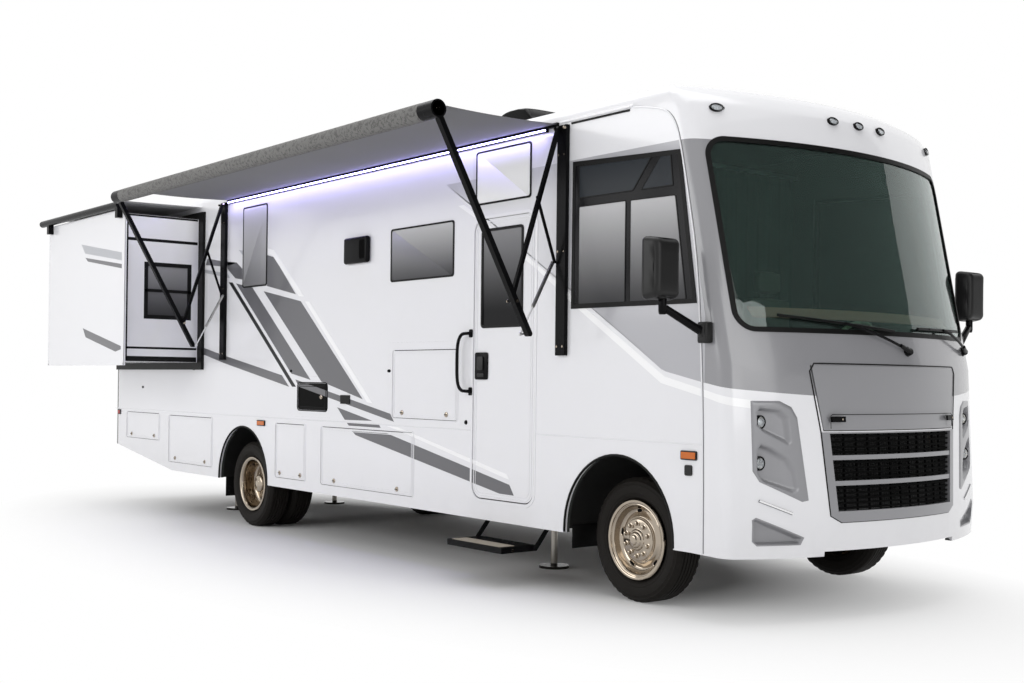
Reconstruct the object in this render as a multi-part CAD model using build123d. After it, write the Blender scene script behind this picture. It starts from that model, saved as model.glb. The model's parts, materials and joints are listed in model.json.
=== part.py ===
from build123d import *
import math
import os

# Class A motorhome with its passenger-side slide-out, awning, step and levelling jacks set out.
# Millimetres. +X is forward, +Y the driver's side (left), +Z up.
# The origin is on the ground, on the centreline, under the front axle.

# ---------------------------------------------------------------- driving dimensions
wheelbase = 5283.0
body_width = 2565.0
half_width = body_width / 2
rear_end_x = -8570.0
wall = 50.0
side_top_z = 3167.0
roof_crown_z = 3340.0
eaves_width = 80.0
eaves_rise = 112.0
floor_top_z = 1060.0
floor_thickness = 60.0
gap = 4.0
hinge_gap = 0.3
seat_gap = 0.3

# plan of the nose: one front arc and a corner arc tangent to it and to the side
nose_radius = 2740.0
corner_radius = 110.0
rear_corner_radius = 70.0

# nose profile on the centreline: height, forward reach
nose_profile = [
    (330.0, 1245.0),
    (600.0, 1266.0),
    (1540.0, 1217.0),
    (3110.0, 874.0),
    (3195.0, 815.0),
    (3255.0, 715.0),
    (3300.0, 560.0),
    (3345.0, 260.0),
]

nose_root_x = -300.0
house_front_x = 760.0

# lower edge of the body, rear to front: x, z
sill_line = [(-8494.0, 650.0), (-6954.0, 436.0), (-3000.0, 424.0), (640.0, 408.0), (1000.0, 396.0)]
nose_notch_half = 670.0
nose_notch_z = 425.0

# seam between the nose moulding and the side walls and roof: x, z
nose_seam = [(748.0, 1830.0), (538.0, 2880.0), (470.0, 3060.0), (350.0, 3135.0), (106.0, 3167.0)]

# wheels and arches
tyre_radius = 405.0
tyre_width = 225.0
rim_radius = 247.0
wheel_z = tyre_radius
front_track = 2025.0
twin_spacing = 250.0
rear_outer_y = 1092.0
arch_radius = 513.0
arch_z = 445.0
arch_depth = 630.0
arches = [("front", -8.0), ("rear", -wheelbase - 21.0)]
kingpin_y = front_track / 2 - 137.0
kingpin_radius = 16.0
steering_arm_length = 180.0
tie_pin_radius = 9.0
bore_slack = 0.06

# chassis
rail_y = 430.0
rail_width = 60.0
rail_low_z = 600.0
rail_high_z = 800.0
rail_front_x = 930.0
rail_rear_x = -8470.0
rail_gauge = 8.0
tank_rear_x = -wheelbase - 1777.0
tank_front_x = -wheelbase - 657.0
member_half = 40.0
crossmembers = [880.0, -900.0, -2300.0, -3700.0, -wheelbase + 583.0, tank_front_x + member_half,
                tank_rear_x - member_half, -8420.0]
outriggers = [-700.0, -1900.0, -3900.0, -5900.0, -8000.0]
engine_rear_x = 120.0
engine_front_x = 820.0

# windows in the passenger wall: name, rear x, front x, low z, high z
right_windows = [
    ("tall", -5343.0, -4845.0, 2288.0, 3062.0),
    ("mid", -2707.0, -1830.0, 2205.0, 2630.0),
    ("transom", -1558.0, -912.0, 2705.0, 3098.0),
]
left_windows = [
    ("bedroom", -7900.0, -7100.0, 2150.0, 2650.0),
    ("galley", -4300.0, -3400.0, 2150.0, 2650.0),
    ("lounge", -2500.0, -1100.0, 2050.0, 2700.0),
]
# cab window, both sides: x, z round its edge
cab_window = [(-471.0, 1911.0), (683.0, 1904.0), (535.0, 2847.0), (-467.0, 2893.0)]
window_frame = 14.0
window_proud = 6.0
glass_thickness = 6.0

# hinged luggage doors: side, name, rear x, front x, low z, high z
bay_doors = [
    ("right", "rear_locker", -8222.0, -7293.0, 738.0, 1030.0),
    ("right", "bay_rear", -7048.0, -5980.0, 525.0, 1022.0),
    ("right", "bay_narrow", -4637.0, -4075.0, 515.0, 1015.0),
    ("right", "bay_long", -3800.0, -2350.0, 508.0, 1012.0),
    ("left", "bay_rear", -7048.0, -5980.0, 525.0, 1022.0),
    ("left", "bay_middle", -4637.0, -3400.0, 515.0, 1015.0),
    ("left", "bay_front", -2500.0, -1050.0, 508.0, 1012.0),
]
# shallow hatches above the floor on the passenger side: name, rear x, front x, low z, high z, depth
wall_hatches = [
    ("kitchen", -2664.0, -1766.0, 1119.0, 1660.0, 420.0),
    ("utility", -4224.0, -3701.0, 1147.0, 1384.0, 260.0),
]
surround = 60.0
door_thickness = wall - 6.0
bay_wall = 16.0
bay_depth = 560.0

# entry door and its step
door_rear_x = -1571.0
door_front_x = -858.0
door_low_z = 565.0
door_high_z = 2600.0
door_corner = 95.0
door_clearance = 8.0
door_window = (-1463.0, -1010.0, 1824.0, 2508.0)
stepwell_inner_y = 640.0
stepwell_wall = 15.0
tread_rear_x = -1540.0
tread_front_x = -900.0
tread_outer_y = -1520.0
tread_inner_y = -1215.0
tread_top_z = 285.0
tread_thickness = 42.0
step_pivot_y = -1080.0
step_pivot_z = 460.0
step_pin_y = -1240.0
step_arm_thickness = 8.0
step_pin_radius = 8.0

# slide-out room
room_rear_x = -8430.0
room_front_x = -6300.0
room_low_z = 1575.0
room_high_z = 3033.0
room_outer_y = -2090.0
room_inner_y = -1190.0
room_wall = 45.0
room_clearance = 12.0
room_flange = 40.0
room_flange_thickness = 18.0
seal_width = 90.0
seal_depth = 30.0
room_window = (-1876.0, -1382.0, 2001.0, 2567.0)
topper_y = -2125.0
topper_z = 3112.0
topper_radius = 36.0
topper_rear_x = -8600.0
topper_front_x = -6330.0

# awning
mast_width = 94.0
mast_depth = 30.0
mast_low_z = 1600.0
mast_high_z = 3150.0
mast_x = [("front", -556.0), ("rear", -5735.0)]
awning_pivot_y = -1332.0
awning_pivot_z = 3126.0
elbow_y = -1717.0
elbow_z = 1946.0
roller_y = -2355.0
roller_z = 3104.0
roller_radius = 58.0
tail_length = 240.0
link_at = 500.0
link_foot_z = 2229.0
rail_z = 3167.0
lanes = {"outer": (1.0, 45.0), "inner": (50.0, 76.0), "link": (80.0, 90.0), "strut": (95.0, 113.0)}

# levelling jacks: name, x, y
jack_places = [("front", -1500.0, 548.0), ("rear", -6800.0, 600.0)]
jack_foot_radius = 115.0
jack_foot_thickness = 20.0
jack_rod_radius = 27.0
jack_bore_clearance = 0.5
jack_barrel_radius = 40.0
jack_barrel_low_z = 360.0
jack_barrel_high_z = 900.0

# hitch
receiver_outer = 63.5
receiver_bore = 51.0
receiver_z = 540.0
receiver_pin_radius = 8.1

os.makedirs("parts", exist_ok=True)


# ---------------------------------------------------------------- helpers
def block(x_range, y_range, z_range):
    size = [high - low for low, high in (x_range, y_range, z_range)]
    centre = [(high + low) / 2 for low, high in (x_range, y_range, z_range)]
    return Pos(*centre) * Box(*size)


def prism_y(points, y_low, y_high):
    """Polygon of x, z points pulled along Y."""
    face = make_face(Plane.XZ.offset(-y_high) * Polyline(*points, close=True))
    return extrude(face, amount=y_high - y_low, dir=(0, -1, 0))


def prism_x(points, x_low, x_high):
    """Polygon of y, z points pulled along X."""
    face = make_face(Plane.YZ.offset(x_low) * Polyline(*points, close=True))
    return extrude(face, amount=x_high - x_low, dir=(1, 0, 0))


def rod(start, end, radius):
    """Round bar between two points."""
    path = Vector(*end) - Vector(*start)
    plane = Plane(origin=start, z_dir=path)
    return extrude(plane * Circle(radius), amount=path.length)


def rounded_window(x_low, x_high, z_low, z_high, radius, y_low, y_high):
    outline = Plane.XZ.offset(-y_high) * Pos((x_low + x_high) / 2, (z_low + z_high) / 2) * RectangleRounded(
        x_high - x_low, z_high - z_low, radius)
    return extrude(outline, amount=y_high - y_low, dir=(0, -1, 0))


def grow(points, amount):
    """Move a convex outline out by the amount, keeping its sides parallel."""
    count = len(points)
    area = sum(points[i - 1][0] * points[i][1] - points[i][0] * points[i - 1][1] for i in range(count))
    turn = 1 if area > 0 else -1
    lines = []
    for i in range(count):
        (ax, ay), (bx, by) = points[i - 1], points[i]
        length = math.hypot(bx - ax, by - ay)
        nx, ny = turn * (by - ay) / length, -turn * (bx - ax) / length
        lines.append((nx, ny, nx * ax + ny * ay + amount))
    corners = []
    for i in range(count):
        n1, n2 = lines[i], lines[(i + 1) % count]
        det = n1[0] * n2[1] - n1[1] * n2[0]
        corners.append(((n1[2] * n2[1] - n1[1] * n2[2]) / det, (n1[0] * n2[2] - n1[2] * n2[0]) / det))
    return corners


def save(name, shape):
    """Write one node as a STEP file."""
    solids = shape.solids() if hasattr(shape, "solids") else shape
    piece = solids[0] if len(solids) == 1 else Compound(children=list(solids))
    piece.label = name
    export_step(piece, f"parts/{name}.step")


# ---------------------------------------------------------------- coach body
def plan(height, reach, inset):
    """Horizontal section of the nose from its root forward, moved in by the inset."""
    width = half_width - inset
    radius = nose_radius - inset
    corner = corner_radius - inset
    edge_y = (width - corner) / (1 - corner / radius)
    angle = math.asin(edge_y / radius)
    front_x = reach - inset
    edge_x = front_x - radius * (1 - math.cos(angle))
    side_x = edge_x - corner * math.cos(angle)
    half = (math.pi / 2 + angle) / 2
    mid = (side_x + corner * math.cos(half), width - corner + corner * math.sin(half))
    edges = [
        Line((nose_root_x, -width), (side_x, -width)),
        ThreePointArc((side_x, -width), (mid[0], -mid[1]), (edge_x, -edge_y)),
        ThreePointArc((edge_x, -edge_y), (front_x, 0), (edge_x, edge_y)),
        ThreePointArc((edge_x, edge_y), mid, (side_x, width)),
        Line((side_x, width), (nose_root_x, width)),
        Line((nose_root_x, width), (nose_root_x, -width)),
    ]
    return Pos(0, 0, height) * make_face(edges)


def cross_section(inset, x_low, x_high):
    """Flat sides, rounded eaves and a crowned roof, pulled along X."""
    width = half_width - inset
    top = side_top_z - inset
    shoulder_y, shoulder_z = width - eaves_width, top + eaves_rise
    bend_y = width - eaves_width * (1 - math.sqrt(0.5))
    bend_z = top + eaves_rise * math.sqrt(0.5)
    outline = [
        Line((-width, 0), (width, 0)),
        Line((width, 0), (width, top)),
        ThreePointArc((width, top), (bend_y, bend_z), (shoulder_y, shoulder_z)),
        ThreePointArc((shoulder_y, shoulder_z), (0, roof_crown_z - inset), (-shoulder_y, shoulder_z)),
        ThreePointArc((-shoulder_y, shoulder_z), (-bend_y, bend_z), (-width, top)),
        Line((-width, top), (-width, 0)),
    ]
    face = Plane.YZ.offset(x_low) * make_face(outline)
    return extrude(face, amount=x_high - x_low, dir=(1, 0, 0))


def nose_form(inset):
    """Outside form of the nose, moved in by the inset."""
    sections = [plan(height, reach, inset) for height, reach in nose_profile]
    return loft(sections, ruled=True) & cross_section(inset, nose_root_x - 100, 1500)


def rear_uprights(front_x):
    """Plan of the house from a front edge back to its rounded rear uprights."""
    start_x = rear_end_x + rear_corner_radius
    flat = half_width - rear_corner_radius
    cut = rear_corner_radius * (1 - math.sqrt(0.5))
    outline = [
        Line((front_x, -half_width), (start_x, -half_width)),
        ThreePointArc((start_x, -half_width), (rear_end_x + cut, -half_width + cut), (rear_end_x, -flat)),
        Line((rear_end_x, -flat), (rear_end_x, flat)),
        ThreePointArc((rear_end_x, flat), (rear_end_x + cut, half_width - cut), (start_x, half_width)),
        Line((start_x, half_width), (front_x, half_width)),
        Line((front_x, half_width), (front_x, -half_width)),
    ]
    return make_face(outline)


def arch_cut(x_centre, radius, y_low, y_high):
    """Wheel arch: a round top with straight sides down to the sill."""
    rear_x, front_x = x_centre - radius, x_centre + radius
    points = [(rear_x, 300), (front_x, 300), (front_x, arch_z), (rear_x, arch_z)]
    column = prism_y(points, y_low, y_high)
    barrel = extrude(Plane.XZ.offset(-y_high) * Pos(x_centre, arch_z) * Circle(radius), amount=y_high - y_low,
                     dir=(0, -1, 0))
    return column + barrel


outer_form = nose_form(0)
nose = outer_form - nose_form(wall)
house_inner = cross_section(wall, rear_end_x + wall, house_front_x)
house_outer = extrude(rear_uprights(house_front_x), amount=roof_crown_z)
house_outer &= cross_section(0, rear_end_x - 100, house_front_x)
house = house_outer - house_inner
under = [(rear_end_x - 200, 0), (rear_end_x - 200, 700), (rear_end_x, 661)] + sill_line
under += [(1000.0, nose_notch_z - 30), (1500, nose_notch_z - 30), (1500, 0)]
below = prism_y(under, -1500, 1500)
nose -= below + block((1000, 1500), (-nose_notch_half, nose_notch_half), (0, nose_notch_z))
house -= below
for side in (-1, 1):
    y_outer, y_inner = side * 1500, side * (half_width - wall - 30)
    for _, arch_x in arches:
        house -= arch_cut(arch_x, arch_radius, min(y_outer, y_inner), max(y_outer, y_inner))

seam = [(748.0, 200.0)] + nose_seam + [(106.0, 3500.0), (2000.0, 3500.0), (2000.0, 200.0)]
nose_region = prism_y(seam, -1500, 1500)
nose = nose & nose_region
house = house - nose_region
roof = house & block((-9000, 2000), (-1500, 1500), (side_top_z, 3600))
house = house - block((-9000, 2000), (-1500, 1500), (side_top_z, 3600))
rear_split_x = rear_end_x + rear_corner_radius + 20
rear_wall = extrude(rear_uprights(rear_split_x), amount=side_top_z)
inner_half = half_width - wall
rear_wall -= block((rear_end_x + wall, rear_split_x + 1), (-inner_half, inner_half), (-1, side_top_z + 1))
rear_wall -= below
sides = {
    "right": house & block((rear_split_x, 2000), (-1500, 0), (0, 3600)),
    "left": house & block((rear_split_x, 2000), (0, 1500), (0, 3600)),
}

frames = []
panes = []


def wall_band(side, depth_out, depth_in):
    """Y range of a band at the side wall, from its outside inwards."""
    outside = half_width + depth_out
    inside = half_width - depth_in
    return (-outside, -inside) if side == "right" else (inside, outside)


def glass_band(side):
    """Y range of a pane in its frame."""
    return wall_band(side, window_proud - 2, glass_thickness - window_proud + 2)


def fit_window(side, x_low, x_high, z_low, z_high, radius):
    """Cut the wall, and add a slim black frame with its pane."""
    cut = wall_band(side, 40, wall + 20)
    sides[side] -= rounded_window(x_low, x_high, z_low, z_high, radius, *cut)
    ring = wall_band(side, window_proud, wall - 10)
    frame = rounded_window(x_low, x_high, z_low, z_high, radius, *ring)
    inner = (x_low + window_frame, x_high - window_frame, z_low + window_frame, z_high - window_frame)
    frame -= rounded_window(*inner, radius - 6, *cut)
    frames.append(frame)
    panes.append(rounded_window(*inner, radius - 6, *glass_band(side)))


for _, x_low, x_high, z_low, z_high in right_windows:
    fit_window("right", x_low, x_high, z_low, z_high, 25)
for _, x_low, x_high, z_low, z_high in left_windows:
    fit_window("left", x_low, x_high, z_low, z_high, 25)
for side in ("right", "left"):
    opening = prism_y(cab_window, *wall_band(side, 40, wall + 20))
    sides[side] -= opening
    nose -= opening
    frame = prism_y(cab_window, *wall_band(side, window_proud, wall - 10))
    pane_edge = grow(cab_window, -window_frame * 2)
    frame -= prism_y(pane_edge, *wall_band(side, 40, wall + 20))
    frames.append(frame)
    panes.append(prism_y(pane_edge, *glass_band(side)))

# windshield in its rubber gasket
shield_half_top = 1205.0
shield_half_low = 1190.0
shield_top_z = 2930.0
shield_low_z = 1735.0
shield_corner = 130.0
gasket = 30.0


def shield_prism(edge):
    """Windshield outline seen from the front, moved in by the edge width."""
    points = [
        (-shield_half_low + edge, shield_low_z + edge),
        (shield_half_low - edge, shield_low_z + edge),
        (shield_half_top - edge, shield_top_z - edge),
        (-shield_half_top + edge, shield_top_z - edge),
    ]
    prism = prism_x(points, 380, 1500)
    return fillet(prism.edges().filter_by(Axis.X), shield_corner - edge)


shield_cut = shield_prism(0)
pane_cut = shield_prism(gasket)
skin_4 = nose_form(-4)
skin_20 = nose_form(20)
nose -= shield_cut
panes.append((nose_form(6) - nose_form(14)) & pane_cut)
frames.append((skin_4 - skin_20) & (shield_cut - pane_cut))

# hood panel, hinged at its top edge
hood_edge = [(-674.0, 1145.0), (674.0, 1145.0), (755.0, 1542.0), (-755.0, 1542.0)]
hood_panel = [(-669.0, 1150.0), (669.0, 1150.0), (743.0, 1541.7), (-743.0, 1541.7)]
hood_skin = 8.0
hood_frame = 30.0
nose -= prism_x(hood_edge, 700, 1500)
service_hood = (outer_form - nose_form(hood_skin)) & prism_x(hood_panel, 700, 1500)
service_hood += (nose_form(hood_skin - 1) - nose_form(hood_frame)) & prism_x(grow(hood_panel, -60), 700, 1500)

# grille opening below the hood
grille_edge = [(-562.0, 597.0), (562.0, 597.0), (640.0, 638.0), (690.0, 1138.0), (-690.0, 1138.0),
               (-640.0, 638.0)]
grille_inner = [(-586.0, 663.0), (586.0, 663.0), (633.0, 1130.0), (-633.0, 1130.0)]
grille_bars = [831.0, 985.0]
bar_half = 14.0
nose -= prism_x(grille_edge, 700, 1500)
grille_ring = prism_x(grille_edge, 700, 1500) - prism_x(grille_inner, 700, 1500)
grille = (nose_form(-6) - nose_form(30)) & grille_ring
bar_band = (nose_form(-2) - nose_form(20)) & prism_x(grille_inner, 700, 1500)
for bar_z in grille_bars:
    grille += bar_band & block((700, 1500), (-900, 900), (bar_z - bar_half, bar_z + bar_half))

def nose_reach(z):
    """Forward reach of the nose on the centreline at a height."""
    for (z_low, x_low), (z_high, x_high) in zip(nose_profile, nose_profile[1:]):
        if z_low <= z <= z_high:
            return x_low + (x_high - x_low) * (z - z_low) / (z_high - z_low)
    return nose_profile[-1][1]


def curved_slat(z, height, half_length, near, far):
    """Level strip behind the nose's front arc, between two depths."""
    reach = nose_reach(z)
    sag = nose_radius - math.sqrt(nose_radius ** 2 - half_length ** 2)
    front, back = reach - near, reach - far
    edges = [
        ThreePointArc((front - sag, -half_length), (front, 0), (front - sag, half_length)),
        Line((front - sag, half_length), (back - sag, half_length)),
        ThreePointArc((back - sag, half_length), (back, 0), (back - sag, -half_length)),
        Line((back - sag, -half_length), (front - sag, -half_length)),
    ]
    return extrude(Pos(0, 0, z - height / 2) * make_face(edges), amount=height)


slat_pitch = 30.0
slat_height = 12.0
grille_low, grille_high = grille_inner[0][1], grille_inner[2][1]
grille_slope = (grille_inner[2][0] - grille_inner[1][0]) / (grille_high - grille_low)
slats = []
for low, high in ((665.0, 815.0), (847.0, 969.0), (1001.0, 1128.0)):
    count = int((high - low) // slat_pitch)
    for i in range(count):
        z = low + (high - low) * (i + 0.5) / count
        half_length = grille_inner[1][0] + grille_slope * (z - grille_low) - 2
        slats.append(curved_slat(z, slat_height, half_length, 12.0, 26.0))
for y in range(-500, 501, 100):
    sag = nose_radius - math.sqrt(nose_radius ** 2 - y ** 2)
    low_x, high_x = nose_reach(grille_low) - sag, nose_reach(grille_high) - sag
    strip = [(low_x - 32, grille_low), (low_x - 22, grille_low),
             (high_x - 22, grille_high), (high_x - 32, grille_high)]
    slats.append(prism_y(strip, y - 5, y + 5))
grille_slats = slats[0] + slats[1:]

# headlamps: a bezel plate on each side carrying two round lamps
bezel_edge = [(1135.0, 1325.0), (960.0, 1325.0), (886.0, 1289.0), (850.0, 1226.0), (790.0, 735.0), (834.0, 727.0),
              (1097.0, 849.0), (1135.0, 912.0)]
head_lamps = [(1057.0, 1199.0, 47.0), (1069.0, 956.0, 51.0)]  # y, z, radius
bezel_band = nose_form(-8) - outer_form
lamps = []
for side in (-1, 1):
    edge = [(side * y, z) for y, z in bezel_edge]
    lamps.append(bezel_band & prism_x(edge, 500, 1500))
lamp_set = (nose_form(-20) - nose_form(-8))
for side in (-1, 1):
    for y, z, radius in head_lamps:
        can = extrude(Plane.YZ.offset(700) * Pos(side * y, z) * Circle(radius), amount=600, dir=(1, 0, 0))
        lamps.append(lamp_set & can)
roof_marker_z = 3108.0
marker_band = nose_form(-16) - outer_form
for y in (-1097.0, -249.0, 0.0, 249.0, 1097.0):
    can = extrude(Plane.YZ.offset(300) * Pos(y, roof_marker_z) * Ellipse(42, 22), amount=1000, dir=(1, 0, 0))
    lamps.append(marker_band & can)
for side in (-1, 1):
    y_band = wall_band("right" if side < 0 else "left", 14, 0)
    lamps.append(block((575, 691), y_band, (970, 1010)))
    lamps.append(block((-4990, -4850), y_band, (985, 1022)))
    lamps.append(block((-8470, -8410), y_band, (1000, 1040)))
    lamps.append(block((rear_end_x - 22, rear_end_x), (side * 1010 - 70, side * 1010 + 70), (900, 1300)))

save("front_cap", nose)
save("rear_wall", rear_wall)
save("service_hood", service_hood)
save("grille_frame", grille)
save("grille_slats", grille_slats)

# ---------------------------------------------------------------- luggage doors and their lockers
lockers = []


def add_locker(side, x_low, x_high, z_low, z_high, depth, top_z):
    """Open-fronted box of flat panels behind a door."""
    inner = half_width - wall
    sign = -1 if side == "right" else 1
    y_range = tuple(sorted((sign * inner, sign * (inner - depth))))
    back = tuple(sorted((sign * (inner - depth), sign * (inner - depth + bay_wall))))
    across = (x_low - bay_wall, x_high + bay_wall)
    upright = (z_low + seat_gap, top_z - bay_wall - seat_gap)
    lockers.append(block(across, y_range, (z_low - bay_wall, z_low)))
    lockers.append(block(across, y_range, (top_z - bay_wall, top_z)))
    lockers.append(block((x_low - bay_wall, x_low), y_range, upright))
    lockers.append(block((x_high, x_high + bay_wall), y_range, upright))
    lockers.append(block((x_low + seat_gap, x_high - seat_gap), back, upright))


for side, name, x_low, x_high, z_low, z_high in bay_doors:
    opening = (x_low, x_high, z_low, z_high)
    sides[side] -= rounded_window(*opening, 30, *wall_band(side, 40, wall + 20))
    leaf = (x_low + gap, x_high - gap, z_low + gap, z_high - hinge_gap)
    door = rounded_window(*leaf, 30, *wall_band(side, 0, door_thickness))
    save(f"{side}_{name}_door", door)
    add_locker(side, x_low, x_high, z_low, z_high, bay_depth, floor_top_z - floor_thickness)
surrounds = []
half_gap = seat_gap / 2
for name, x_low, x_high, z_low, z_high, depth in wall_hatches:
    # a frame of its own, let into the wall, goes round each hatch
    let_in = block((x_low - surround, x_high + surround), wall_band("right", 40, wall + 20),
                   (z_low - surround, z_high + surround))
    sides["right"] -= let_in
    edge = surround - seat_gap
    frame = block((x_low - edge, x_high + edge), wall_band("right", 0, wall), (z_low - edge, z_high + edge))
    frame -= rounded_window(x_low, x_high, z_low, z_high, 30, *wall_band("right", 40, wall + 20))
    for x in (x_low, x_high):
        frame -= block((x - half_gap, x + half_gap), wall_band("right", 40, wall + 20),
                       (z_low - surround, z_high + surround))
    surrounds += frame.solids()
    leaf = (x_low + gap, x_high - gap, z_low + gap, z_high - hinge_gap)
    save(f"right_{name}_hatch", rounded_window(*leaf, 30, *wall_band("right", 0, door_thickness)))
    add_locker("right", x_low, x_high, z_low, z_high, depth, z_high + bay_wall)
save("lockers", Compound(children=lockers))

# ---------------------------------------------------------------- entry door
doorway = (door_rear_x, door_front_x, door_low_z, door_high_z)
sides["right"] -= rounded_window(*doorway, door_corner, *wall_band("right", 40, wall + 20))
leaf_edges = (door_rear_x + door_clearance, door_front_x - hinge_gap,
              door_low_z + door_clearance, door_high_z - door_clearance)
entry_door = rounded_window(*leaf_edges, door_corner, *wall_band("right", 0, door_thickness))
pane = rounded_window(*door_window, 20, *wall_band("right", 40, wall + 20))
entry_door -= pane
save("entry_door", entry_door)
save("entry_door_glass", rounded_window(*door_window, 20, *wall_band("right", 0, glass_thickness)))

# ---------------------------------------------------------------- slide-out room
room_hole = (room_rear_x - room_clearance, room_front_x + room_clearance,
             room_low_z - room_clearance, room_high_z + room_clearance)
sides["right"] -= block(room_hole[0:2], wall_band("right", 40, wall + 20), room_hole[2:4])
seal = block((room_hole[0] - 44, room_hole[1] + seal_width), (-half_width - seal_depth, -half_width),
             (room_hole[2] - 60, room_hole[3] + 60))
seal -= block((room_rear_x - hinge_gap, room_front_x + hinge_gap), (-half_width - 60, -half_width + 10),
              (room_low_z - hinge_gap, room_high_z + hinge_gap))
frames.append(seal)

# the right wall is laid up from panels: one joint runs along the belt, and upright ones stand at the openings
belt_z = wall_hatches[0][3] - surround + half_gap
roof_top_z = 4000.0
panel_ends = []
for side, _, low, high, _, _ in bay_doors:
    if side == "right":
        panel_ends += [(low, 0.0, belt_z), (high, 0.0, belt_z)]
for _, low, high, _, _, _ in wall_hatches:
    panel_ends += [(low - surround, belt_z, roof_top_z), (high + surround, belt_z, roof_top_z)]
panel_ends += [(room_hole[1], belt_z, roof_top_z), (door_rear_x, 0.0, roof_top_z), (door_front_x, 0.0, roof_top_z)]
sides["right"] -= block((rear_end_x - 50, 1500), wall_band("right", 40, wall + 20),
                        (belt_z - half_gap, belt_z + half_gap))
for x, z_low, z_high in panel_ends:
    sides["right"] -= block((x - half_gap, x + half_gap), wall_band("right", 40, wall + 20), (z_low, z_high))

room = block((room_rear_x, room_front_x), (room_outer_y + room_flange_thickness, room_inner_y),
             (room_low_z, room_high_z))
room += block((room_rear_x - room_flange, room_front_x + room_flange),
              (room_outer_y, room_outer_y + room_flange_thickness),
              (room_low_z - room_flange, room_high_z + room_flange))
room -= block((room_rear_x + room_wall, room_front_x - room_wall), (room_outer_y + room_wall, room_inner_y + 10),
              (room_low_z + room_wall, room_high_z - room_wall))
y_low, y_high, z_low, z_high = room_window
room -= block((room_front_x - room_wall - 10, room_front_x + 10), (y_low, y_high), (z_low, z_high))
save("slide_room", room)
save("slide_room_glass", block((room_front_x - 16, room_front_x - 8), (y_low, y_high), (z_low, z_high)))

topper = rod((topper_rear_x, topper_y, topper_z), (topper_front_x, topper_y, topper_z), topper_radius)
for x in (room_rear_x + 30, room_front_x - 90):
    topper += block((x, x + 60), (topper_y - 20, room_outer_y), (2985, topper_z))
save("slide_topper_roller", topper)

fabric_thickness = 2.0
topper_low_z = topper_z + topper_radius + seat_gap
topper_edge = (-half_width - seat_gap, rail_z - 8)
topper_points = [topper_edge, (topper_y, topper_low_z), (topper_y, topper_low_z + fabric_thickness),
                 (topper_edge[0], topper_edge[1] + fabric_thickness)]
save("slide_topper_fabric", prism_x(topper_points, room_rear_x - 30, room_front_x + 10))

# ---------------------------------------------------------------- awning
fittings = []
for _, x in mast_x:
    fittings.append(block((x - mast_width / 2, x + mast_width / 2), (-half_width - mast_depth, -half_width),
                          (mast_low_z, mast_high_z)))
rail_front_x_awning = -620.0
rail_rear_x_awning = -5670.0
awning_rail_depth = 22.0
fittings.append(block((rail_rear_x_awning, rail_front_x_awning), (-half_width - awning_rail_depth, -half_width),
                      (rail_z - 18, rail_z + 12)))


def lane(place, key):
    """X range of one arm's lane, counted back from the mast's front edge, or forward on the rear mast."""
    name, centre = place
    near, far = lanes[key]
    if name == "front":
        return (centre + mast_width / 2 - far, centre + mast_width / 2 - near)
    return (centre - mast_width / 2 + near, centre - mast_width / 2 + far)


def bar_in_lane(x_range, start, end, depth):
    """Flat bar in a plane across X, from one y, z point to another, rounded at its ends."""
    dy, dz = end[0] - start[0], end[1] - start[1]
    length = math.hypot(dy, dz)
    angle = math.degrees(math.atan2(dz, dy))
    middle = Pos((start[0] + end[0]) / 2, (start[1] + end[1]) / 2) * Rot(0, 0, angle)
    slot = Plane.YZ.offset(x_range[0]) * middle * SlotCenterToCenter(length, depth)
    return extrude(slot, amount=x_range[1] - x_range[0], dir=(1, 0, 0))


pivot = (awning_pivot_y, awning_pivot_z)
elbow = (elbow_y, elbow_z)
roller = (roller_y, roller_z)
arm_length = math.dist(elbow, roller)
tail = tuple(elbow[i] + (elbow[i] - roller[i]) * tail_length / arm_length for i in (0, 1))
inner_length = math.dist(pivot, elbow)
link_top = tuple(pivot[i] + (elbow[i] - pivot[i]) * link_at / inner_length for i in (0, 1))
link_foot = (awning_pivot_y, link_foot_z)
pin_radius = 5.0
hole_radius = pin_radius + 0.06
inner_depth = 26.0
outer_depth = 36.0
rod_radius = 6.0
rod_clearance = 0.5
lug_half = 14.0

mast_lugs = []
inner_arms = []
outer_arms = []
links = []
barrels = []
rods = []


def along_strut(share):
    """Point on the strut's line, as a share of the way from its foot to the tail pin."""
    return tuple(link_foot[i] + (tail[i] - link_foot[i]) * share for i in (0, 1))


rod_in = along_strut(0.62)
rod_back = along_strut(0.22)


def pin_through(x_low, x_high, at, radius):
    return rod((x_low, at[0], at[1]), (x_high, at[0], at[1]), radius)


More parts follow.
